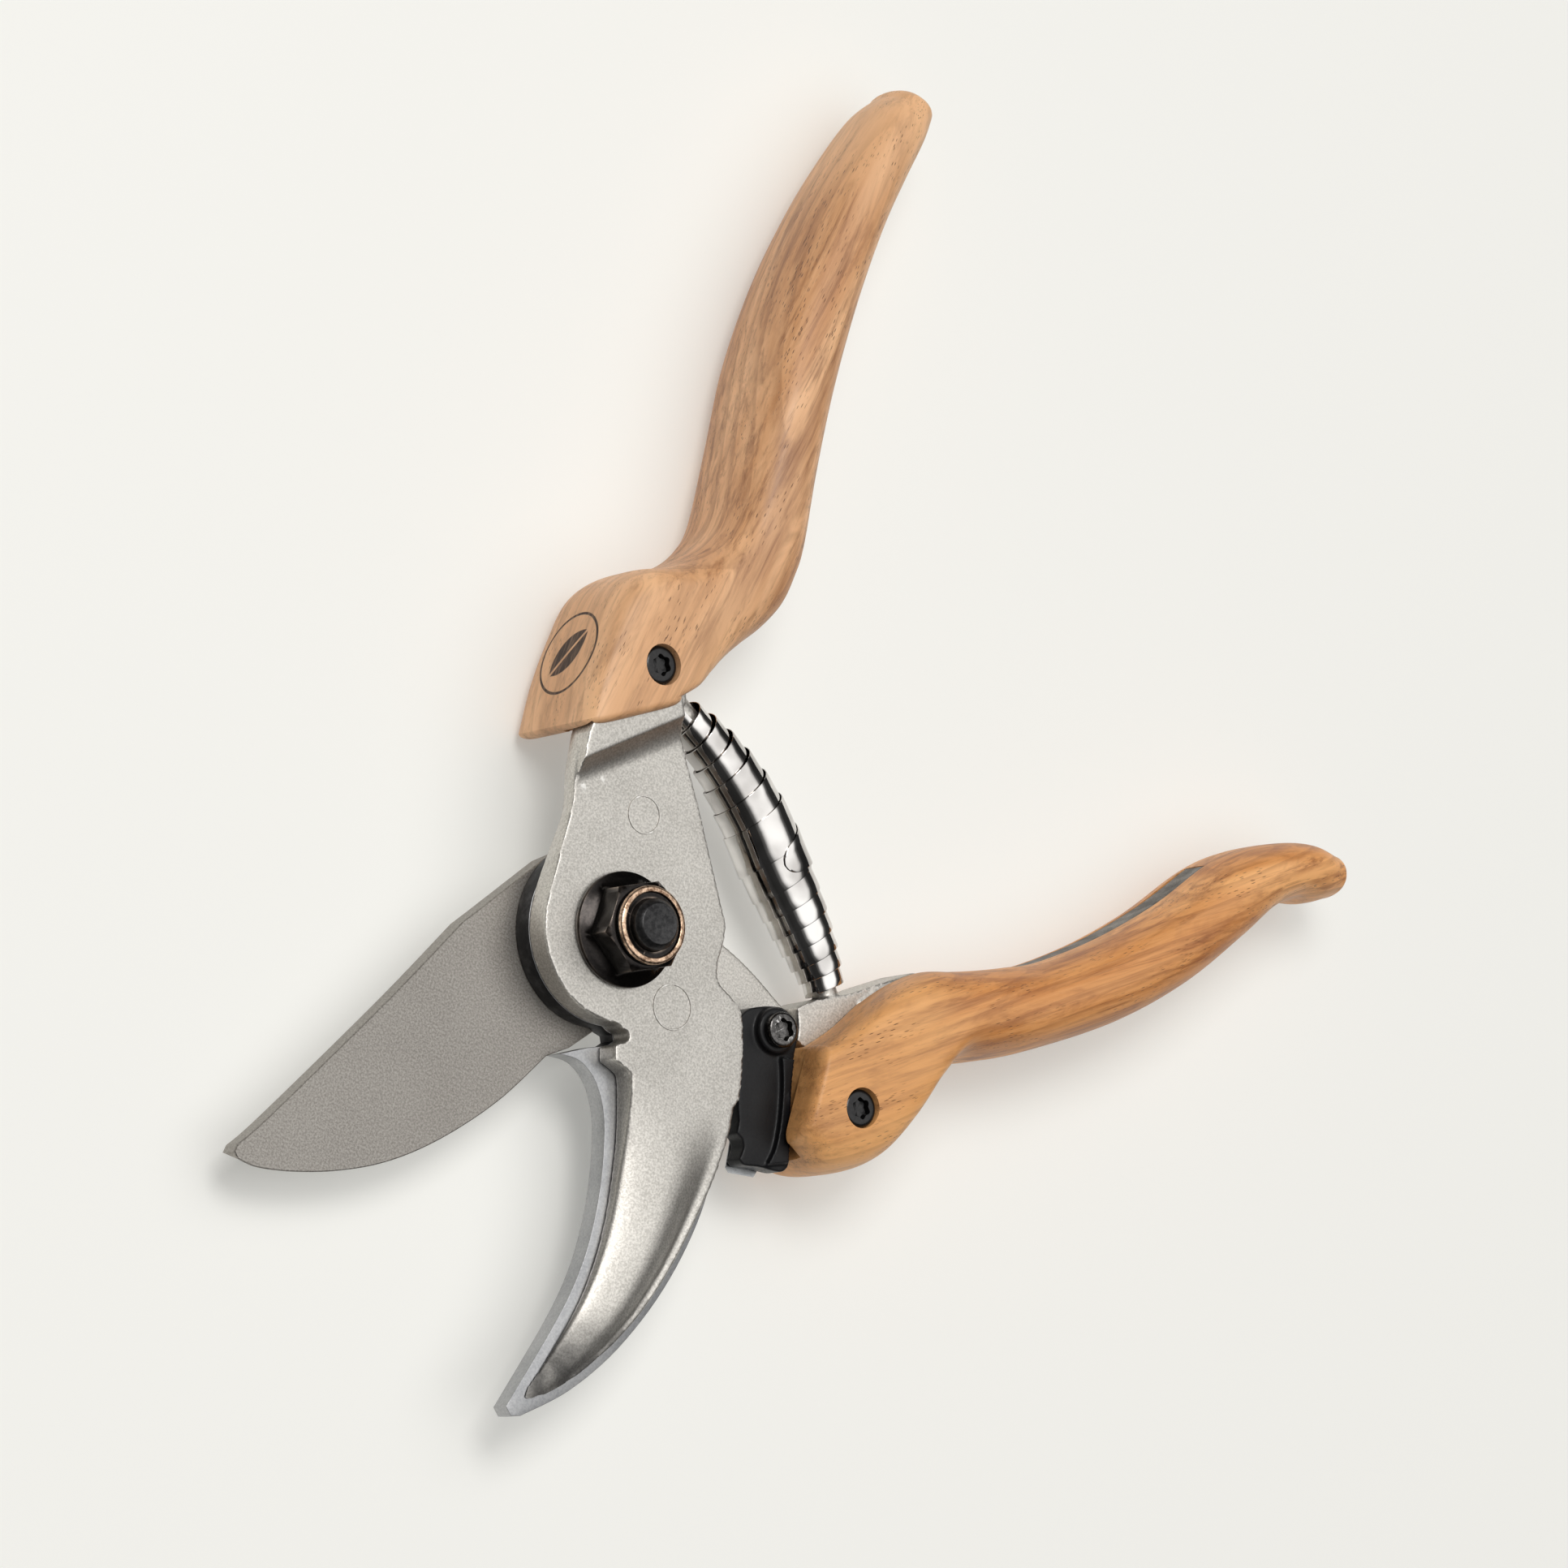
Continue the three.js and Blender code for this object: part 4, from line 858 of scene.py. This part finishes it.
def button_screw(centre, head, shank, bottom, top, height, socket):
    """A domed screw with a six-lobed socket; head, shank and socket are radii."""
    shoulder = top - height
    dome = [(head - 0.75 * (1 - math.cos(t)), shoulder + height * (0.7 + 0.3 * math.sin(t)))
            for t in [math.pi / 2 * k / 8 for k in range(9)]]
    profile = [
        (shank * 0.8, bottom), (shank, bottom + 0.3), (shank, shoulder), (head - 0.12, shoulder),
        (head, shoulder + 0.12),
        *dome, (socket * 1.18, top), (star(socket * 1.06), top), (star(socket), top - 0.12),
        (star(socket * 0.94), top - 1.05), (star(socket * 0.4), top - 1.2), (0.08, top - 1.22),
    ]
    return lathe("screw", profile, centre)


for side, centre, body in (("upper", UPPER_SCREW, "counter_side"), ("lower", LOWER_SCREW, "blade_side")):
    screw = button_screw(centre, 2.95, 1.7, 2.4, 21.5, 1.7, 1.65)
    piece(screw, f"{side}_grip_screw_head", body, SOCKET_STEEL, "black_steel", f"{side}_grip_screw")
    nut = lathe("sleeve", [
        (0.3, 0.42), (1.0, 0.42), (1.25, 0.75), (1.5, 0.42), (3.1, 0.42), (3.4, 0.7), (3.4, 1.8),
        (2.6, 1.8), (2.6, 8.0), (2.4, 8.2), (SCREW_BORE, 8.2), (SCREW_BORE, 2.3), (0.3, 2.2),
    ], centre, 72)
    piece(nut, f"{side}_grip_sleeve_nut", body, SOCKET_STEEL, "black_steel", f"{side}_grip_nut")

latch_screw = button_screw(LATCH_PIVOT, 2.8, 1.5, 4.4, 17.2, 1.55, 1.75)
piece(latch_screw, "latch_screw_head", "blade_side", SCREW_STEEL, "black_steel", "latch_screw")


def hexagon_radius(across_flats):
    return lambda a: across_flats / 2 / math.cos((a + math.pi / 6) % (math.pi / 3) - math.pi / 6)


HEX = hexagon_radius(13.0)
nut = lathe("nut", [
    (4.1, FRONT_TOP), (8.5, FRONT_TOP), (8.85, FRONT_TOP + 0.12), (8.95, FRONT_TOP + 0.4),
    (8.95, FRONT_TOP + 0.8), (8.85, FRONT_TOP + 1.02), (8.6, FRONT_TOP + 1.16), (8.3, FRONT_TOP + 1.3),
    (7.75, FRONT_TOP + 1.65),
    (lambda a: HEX(a) + 0.22, FRONT_TOP + 2.0), (lambda a: HEX(a) + 0.04, FRONT_TOP + 2.2),
    (HEX, FRONT_TOP + 2.45), (HEX, lambda a: FRONT_TOP + 6.35 - (HEX(a) - 6.5) * 0.62),
    (lambda a: 6.5 + (HEX(a) - 6.5) * 0.85, lambda a: FRONT_TOP + 6.42 - (HEX(a) - 6.5) * 0.5),
    (6.42, FRONT_TOP + 6.45), (6.1, FRONT_TOP + 6.5), (6.0, FRONT_TOP + 6.6), (6.0, NUT_TOP - 0.3),
    (5.93, NUT_TOP - 0.1), (5.78, NUT_TOP), (5.12, NUT_TOP), (5.0, NUT_TOP - 0.12),
    (4.95, NUT_TOP - 0.35), (4.1, NUT_TOP - 0.42),
], count=144, closed=True)
piece(nut, "flange_nut_turned", "counter_side", BLACK_STEEL, "black_steel", "flange_nut", angle=30)
ring = lathe("ring", [
    (4.98, NUT_TOP - 0.12), (5.03, NUT_TOP + 0.02), (5.2, NUT_TOP + 0.07), (5.6, NUT_TOP + 0.07),
    (5.86, NUT_TOP - 0.02), (6.02, NUT_TOP - 0.25), (6.06, NUT_TOP - 0.62), (5.96, NUT_TOP - 0.66),
    (5.9, NUT_TOP - 0.3), (5.7, NUT_TOP - 0.06),
], count=144, closed=True)
piece(ring, "nut_collar_ring", "counter_side", BRONZE, "bronze", angle=60)

bolt = lathe("bolt", [
    (0.2, 0.0), (6.9, 0.0), (7.5, 0.1), (7.95, 0.5), (8.0, 0.8), (8.0, 2.2), (4.0, 2.2),
    (4.0, BOLT_END - 0.95), (3.95, BOLT_END - 0.8), (3.25, BOLT_END - 0.08), (3.1, BOLT_END),
    (2.7, BOLT_END - 0.03), (2.0, BOLT_END - 0.06), (1.2, BOLT_END - 0.09), (0.5, BOLT_END - 0.1),
    (0.05, BOLT_END - 0.1),
])
cut(bolt, *[bore(1.1, -1, 1.2, (side * 5.2, 0), 32) for side in (-1, 1)])
piece(bolt, "pivot_bolt_turned", "counter_side", BOLT_STEEL, "black_steel", "pivot_bolt", angle=30)
washer = lathe("washer", [
    (BOLT_BORE, 2.22), (8.4, 2.22), (8.5, 2.3), (8.5, 2.62), (8.4, 2.7), (BOLT_BORE, 2.7),
], closed=True)
piece(washer, "pivot_washer_ring", "counter_side", ZINC_STEEL, "zinc_steel", "pivot_washer", angle=50)

# ---------------------------------------------------------------- blade side
TONGUE = [(-13.6, -1), (-17.6, -7), (-16.6, -14.6), (-10.6, -19.6), (-4.4, -19.4), (1, -13), (0, 0)]
ARM = (
    arc(0, 0, HUB_RADIUS - 1.4, -48, 42, 24)
    + curve([(16.0, 9.7), (23.5, 8.4), (29.4, 6.8), (36.2, 4.1), (39.2, 3.0)], 6)
    + [(44.4, 1.0), (50.8, -2.0), (53.0, -12.0), (48.0, -17.2), (43.0, -18.2)]
    + curve([(37.0, -16.6), (30.0, -14.4), (20.0, -13.4)], 6)
)
NECK = [
    (37.6, 3.6), (40.3, 6.0), (46.6, 9.9), (51.4, 13.7), (57.0, 17.9), (58.4, 14.0), (54.0, 6.0),
    (53.0, -12.0), (47.4, -15.4), (44.2, -14.0), (43.4, -2.4), (39.3, -1.3), (38.9, 0.8),
]
arm = join(
    lathe("hub", [(HUB_RADIUS - 1.2, BACK_BOTTOM), (HUB_RADIUS - 1.2, BACK_TOP)]),
    plate("tongue", TONGUE, BACK_BOTTOM, BACK_TOP),
    plate("arm", ARM, BACK_BOTTOM, BLADE_TOP),
    plate("neck", NECK, BACK_BOTTOM + 2, 13.2),
    plate("tang", band(LOWER_TANG, 0.1, TANG_DEPTH), TANG_LOW, TANG_HIGH),
    spring_peg(SPRING_AXIS[-1], SPRING_AXIS[-2]),
)
cast(arm, CASTING_VOXEL, 3, 0.35)
cut(
    arm,
    bore(BUSH_BORE, 0, 12),
    bore(HUB_RADIUS - 0.2, BACK_TOP, 14, count=128),
    bore(SCREW_BORE, 0, 16, LOWER_SCREW, 32),
    bore(SLEEVE_BORE, 0, 8.4, LOWER_SCREW, 32),
    bore(1.6, 4, 14, LATCH_PIVOT, 32),
    *[lathe("sink", [(2.75, 0), (2.75, 3.25), (1.5, 4.55), (1.5, 8)], c, 40) for c in BLADE_SCREWS],
)
piece(arm, "blade_body_casting", "blade_side", ALUMINIUM, "aluminium", "blade_body", angle=50)


def blade():
    """Flat in front, bevelled from behind to a thin land along the cutting edge."""
    edge = curve(BLADE_EDGE, 6)
    rest = [(1.8, -18.0)] + arc(0, 0, HUB_RADIUS - 0.6, -62, 132, 90) + [(-12.3, 7.4), (-21.0, -5.2)]
    rest += curve(BLADE_SPINE, 8) + [(-48.3, -55.6)]
    inward = [(-x, -y) for x, y in right_normals(edge)]
    back, foot = [], []
    for i, ((x, y), n) in enumerate(zip(edge, inward)):
        along = i / (len(edge) - 1)
        width = 0.5 + 6.1 * math.sin(math.pi * min(1, 0.04 + 0.9 * along)) ** 0.7
        back.append((x + n[0] * width, y + n[1] * width, BACK_TOP))
        foot.append((x, y, BLADE_TOP - 0.3))
    rings = [
        back + [(x, y, BACK_TOP) for x, y in rest],
        foot + [(x, y, BACK_TOP + 0.25) for x, y in rest],
        [(x, y, BLADE_TOP - 0.08) for x, y in edge] + [(x, y, BLADE_TOP - 0.25) for x, y in rest],
    ]
    top = edge + rest
    normals = []
    for i in range(len(top)):
        a, b = Vector(top[i - 1]), Vector(top[(i + 1) % len(top)])
        d = (b - a).normalized()
        normals.append((-d.y, d.x))
    rings.append([(x + n[0] * 0.16, y + n[1] * 0.16, BLADE_TOP) for (x, y), n in zip(top, normals)])
    return skin("blade", rings)


knife = blade()
cut(knife, bore(BUSH_BORE, 4, 12), *[bore(1.5, 4, 9.3, c, 32) for c in BLADE_SCREWS])
piece(knife, "cutting_blade_ground", "blade_side", BLADE_STEEL, "blade_steel", "cutting_blade", angle=25)

for i, centre in enumerate(BLADE_SCREWS, 1):
    low = BACK_BOTTOM + 0.1
    screw = lathe("screw", [
        (0.08, low + 1.1), (star(0.5), low + 1.08), (star(1.15), low + 0.95), (star(1.22), low + 0.06),
        (1.45, low), (2.5, low), (2.6, low + 0.1), (2.6, low + 0.3), (1.4, low + 1.5), (1.4, 9.0), (1.2, 9.2),
    ], centre, 72)
    piece(screw, f"blade_screw_head_{i}", "blade_side", BLACK_STEEL, "black_steel", f"blade_screw_{i}")

# ---------------------------------------------------------------- latch
LATCH_OUTLINE = (
    curve([(27.3, -2.6), (28.2, -0.9), (29.8, 0.3), (32.3, 1.5), (34.7, 2.1), (37.0, 1.3), (38.4, -0.3),
           (38.8, -2.6)], 5)
    + curve([(39.2, -6.8), (40.0, -10.8), (42.3, -17.4), (43.4, -19.9)], 6)
    + curve([(43.5, -20.9), (42.4, -22.2), (38.4, -23.0), (35.7, -23.8), (34.5, -23.3)], 5)
    + [(34.7, -21.2), (34.0, -20.1), (32.7, -19.7)]
    + curve([(32.5, -17.8), (31.2, -14.6), (29.6, -8.5), (27.9, -4.4)], 6)
)
RIDGE_OUTER = [(38.5, -5.0), (39.5, -9.6), (41.7, -16.8), (42.8, -20.6)]
RIDGE_INNER = [(39.2, -22.3), (39.7, -19.4), (39.3, -15.4), (38.2, -10.8), (37.1, -7.6), (36.2, -5.6)]
LEVER_BOTTOM = 10.35
lever = join(
    plate("lever", LATCH_OUTLINE, LEVER_BOTTOM, 14.2),
    lathe("boss", [(3.6, LEVER_BOTTOM), (3.6, 15.3), (3.35, 15.6)], LATCH_PIVOT, 72),
    plate("ridge", curve(RIDGE_OUTER, 5) + curve(RIDGE_INNER, 5), LEVER_BOTTOM, 15.2),
)
cast(lever, 0.22, 5, 0.5)
cut(lever, bore(2.35, 8, 18, LATCH_PIVOT, 48))
piece(lever, "latch_lever_moulded", "latch", BLACK_PLASTIC, "black_plastic", "latch_lever", angle=60)

for node, material in (
    ("counter_dowel_1", ZINC_STEEL), ("counter_dowel_2", ZINC_STEEL), ("pivot_bush", BRONZE),
    ("latch_sleeve", BLACK_STEEL), ("latch_leaf", ZINC_STEEL),
):
    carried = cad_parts[node]
    carried.data.materials.clear()
    carried.data.materials.append(material)


# ---------------------------------------------------------------- spring
class Axis:
    """The spring's bent axis, walked by length."""

    def __init__(self, points):
        self.points = [Vector(p) for p in curve(points, 24)]
        self.marks = [0.0]
        for a, b in zip(self.points, self.points[1:]):
            self.marks.append(self.marks[-1] + (b - a).length)
        self.length = self.marks[-1]

    def at(self, distance):
        """The point at a distance along the axis, which runs on straight past its ends, and its direction."""
        inside = min(max(distance, 0.0), self.length - 1e-6)
        i = next(k for k in range(len(self.marks) - 1) if self.marks[k + 1] > inside)
        t = (distance - self.marks[i]) / (self.marks[i + 1] - self.marks[i])
        along = self.points[min(i + 2, len(self.points) - 1)] - self.points[max(i - 1, 0)]
        return self.points[i] + (self.points[i + 1] - self.points[i]) * t, along.normalized()


spring_axis = Axis(SPRING_AXIS)


def beside(distance, reach, angle):
    """The point that far along the axis and that far out from it."""
    centre, along = spring_axis.at(distance)
    side = Vector((along.y, -along.x)) * reach * math.cos(angle)
    return (centre.x + side.x, centre.y + side.y, GRIP_MIDDLE + reach * math.sin(angle))


def strip(name, start, stop, small, large, narrow, wide, last):
    """A strip wound from its small end out to a rounded tongue over the middle, at the angle last.

    start and stop are places along the axis, small and large radii, narrow and wide strip widths.
    """
    steps = SPRING_TURNS * STEPS_PER_TURN
    handed = math.copysign(1, stop - start)
    stations = [i / steps for i in range(steps - TONGUE_STEPS)]
    stations += [1 - TONGUE_STEPS / steps * (1 - k / 24) for k in range(25)]
    rings = []
    for t in stations:
        centre = start + (stop - start) * (0.76 * t + 0.24 * t * t)
        radius = small + (large - small) * (0.45 * t + 0.55 * (1 - (1 - t) ** 2))
        left = (1 - t) * SPRING_TURNS * 2 * math.pi * radius
        half = (narrow + (wide - narrow) * t) / 2 * min(1.0, 0.5 + left / 18)
        close = min(1.0, left / 2.2 + 0.004)
        half *= math.sqrt(close * (2 - close))
        angle = math.radians(last) + handed * (1 - t) * SPRING_TURNS * 2 * math.pi
        outer, inner = [], []
        for a in (-1, -0.95, -0.5, 0, 0.5, 0.95, 1):
            edge = STRIP_ROUNDING if abs(a) == 1 else 0
            outer.append((centre + half * a, radius + STRIP_THICK / 2 - edge))
            inner.append((centre + half * a, radius - STRIP_THICK / 2 + edge))
        rings.append([beside(d, r, angle) for d, r in outer + inner[::-1]])
    return skin(name, rings)


spring_ends = [[c * MM for c in (*end, GRIP_MIDDLE)] for end in (SPRING_AXIS[0], SPRING_AXIS[-1])]
across_pivot = ("counter_side", "blade_side", *spring_ends)
upper_strip = strip("upper_strip", 0.0, 28.2, 2.4, 5.85, 4.4, 7.4, 72)
piece(upper_strip, "spring_strip_upper", None, SPRING_STEEL, "spring_steel", "spring_upper_strip",
      angle=50, blend=across_pivot)
lower_strip = strip("lower_strip", spring_axis.length - 1.2, 26.5, 2.9, 5.5, 4.4, 6.4, 250)
piece(lower_strip, "spring_strip_lower", None, SPRING_STEEL, "spring_steel", "spring_lower_strip",
      angle=50, blend=across_pivot)

# ---------------------------------------------------------------- floor and light
FLOOR_REACH = 3.0
FLOOR_DROP = 0.0002
floor_mesh = bpy.data.meshes.new("floor")
signs = [(-1, -1), (1, -1), (1, 1), (-1, 1)]
corners = [(x * FLOOR_REACH, y * FLOOR_REACH, -FLOOR_DROP) for x, y in signs]
floor_mesh.from_pydata(corners, [], [(0, 1, 2, 3)])
floor = bpy.data.objects.new("floor", floor_mesh)
bpy.context.scene.collection.objects.link(floor)
floor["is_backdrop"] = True
paper = Graph("paper")
paper.set(Base_Color=(0.66, 0.655, 0.63), Roughness=0.9)
paper.shader.inputs["Specular IOR Level"].default_value = 0.1
paper.shader.inputs["Emission Color"].default_value = (0.905, 0.905, 0.863, 1)
paper.shader.inputs["Emission Strength"].default_value = 0.33
floor_mesh.materials.append(paper.material)

world = bpy.data.worlds.new("studio")
world.use_nodes = True
bpy.context.scene.world = world
sky_tree = world.node_tree
sky = sky_tree.nodes["Background"]
direction = sky_tree.nodes.new("ShaderNodeTexCoord")
nearness = sky_tree.nodes.new("ShaderNodeVectorMath")
nearness.operation = "DOT_PRODUCT"
nearness.inputs[1].default_value = (0.07, 0.16, 0.985)
shade = sky_tree.nodes.new("ShaderNodeValToRGB")
sky_tree.links.new(direction.outputs["Generated"], nearness.inputs[0])
sky_tree.links.new(nearness.outputs["Value"], shade.inputs[0])
sky_tree.links.new(shade.outputs[0], sky.inputs["Color"])
# How near a direction is to the sky's bright middle, and how bright the sky is there.
SKY = ((0.0, 0.05), (0.30, 0.02), (0.60, 0.025), (0.72, 0.12), (0.81, 0.78), (0.87, 1.0), (1.0, 1.0))
while len(shade.color_ramp.elements) < len(SKY):
    shade.color_ramp.elements.new(0.5)
for element, (place, level) in zip(shade.color_ramp.elements, SKY):
    element.position = place
    element.color = (level, level * 0.997, level * 0.985, 1)
sky.inputs["Strength"].default_value = 1.42


def softbox(name, at, aim, size, power, colour):
    data = bpy.data.lights.new(name, "AREA")
    data.shape = "RECTANGLE"
    data.size, data.size_y = size
    data.energy = power
    data.color = colour
    lamp = bpy.data.objects.new(name, data)
    bpy.context.scene.collection.objects.link(lamp)
    lamp.location = at
    lamp.rotation_euler = (Vector(aim) - Vector(at)).to_track_quat("-Z", "Y").to_euler()


MIDDLE = (0.04, 0.03, 0.01)
softbox("key", (-0.55, 0.35, 1.25), MIDDLE, (0.55, 0.55), 7, (1.0, 0.985, 0.965))

view = bpy.context.scene.view_settings
view.view_transform = "Standard"

low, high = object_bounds()
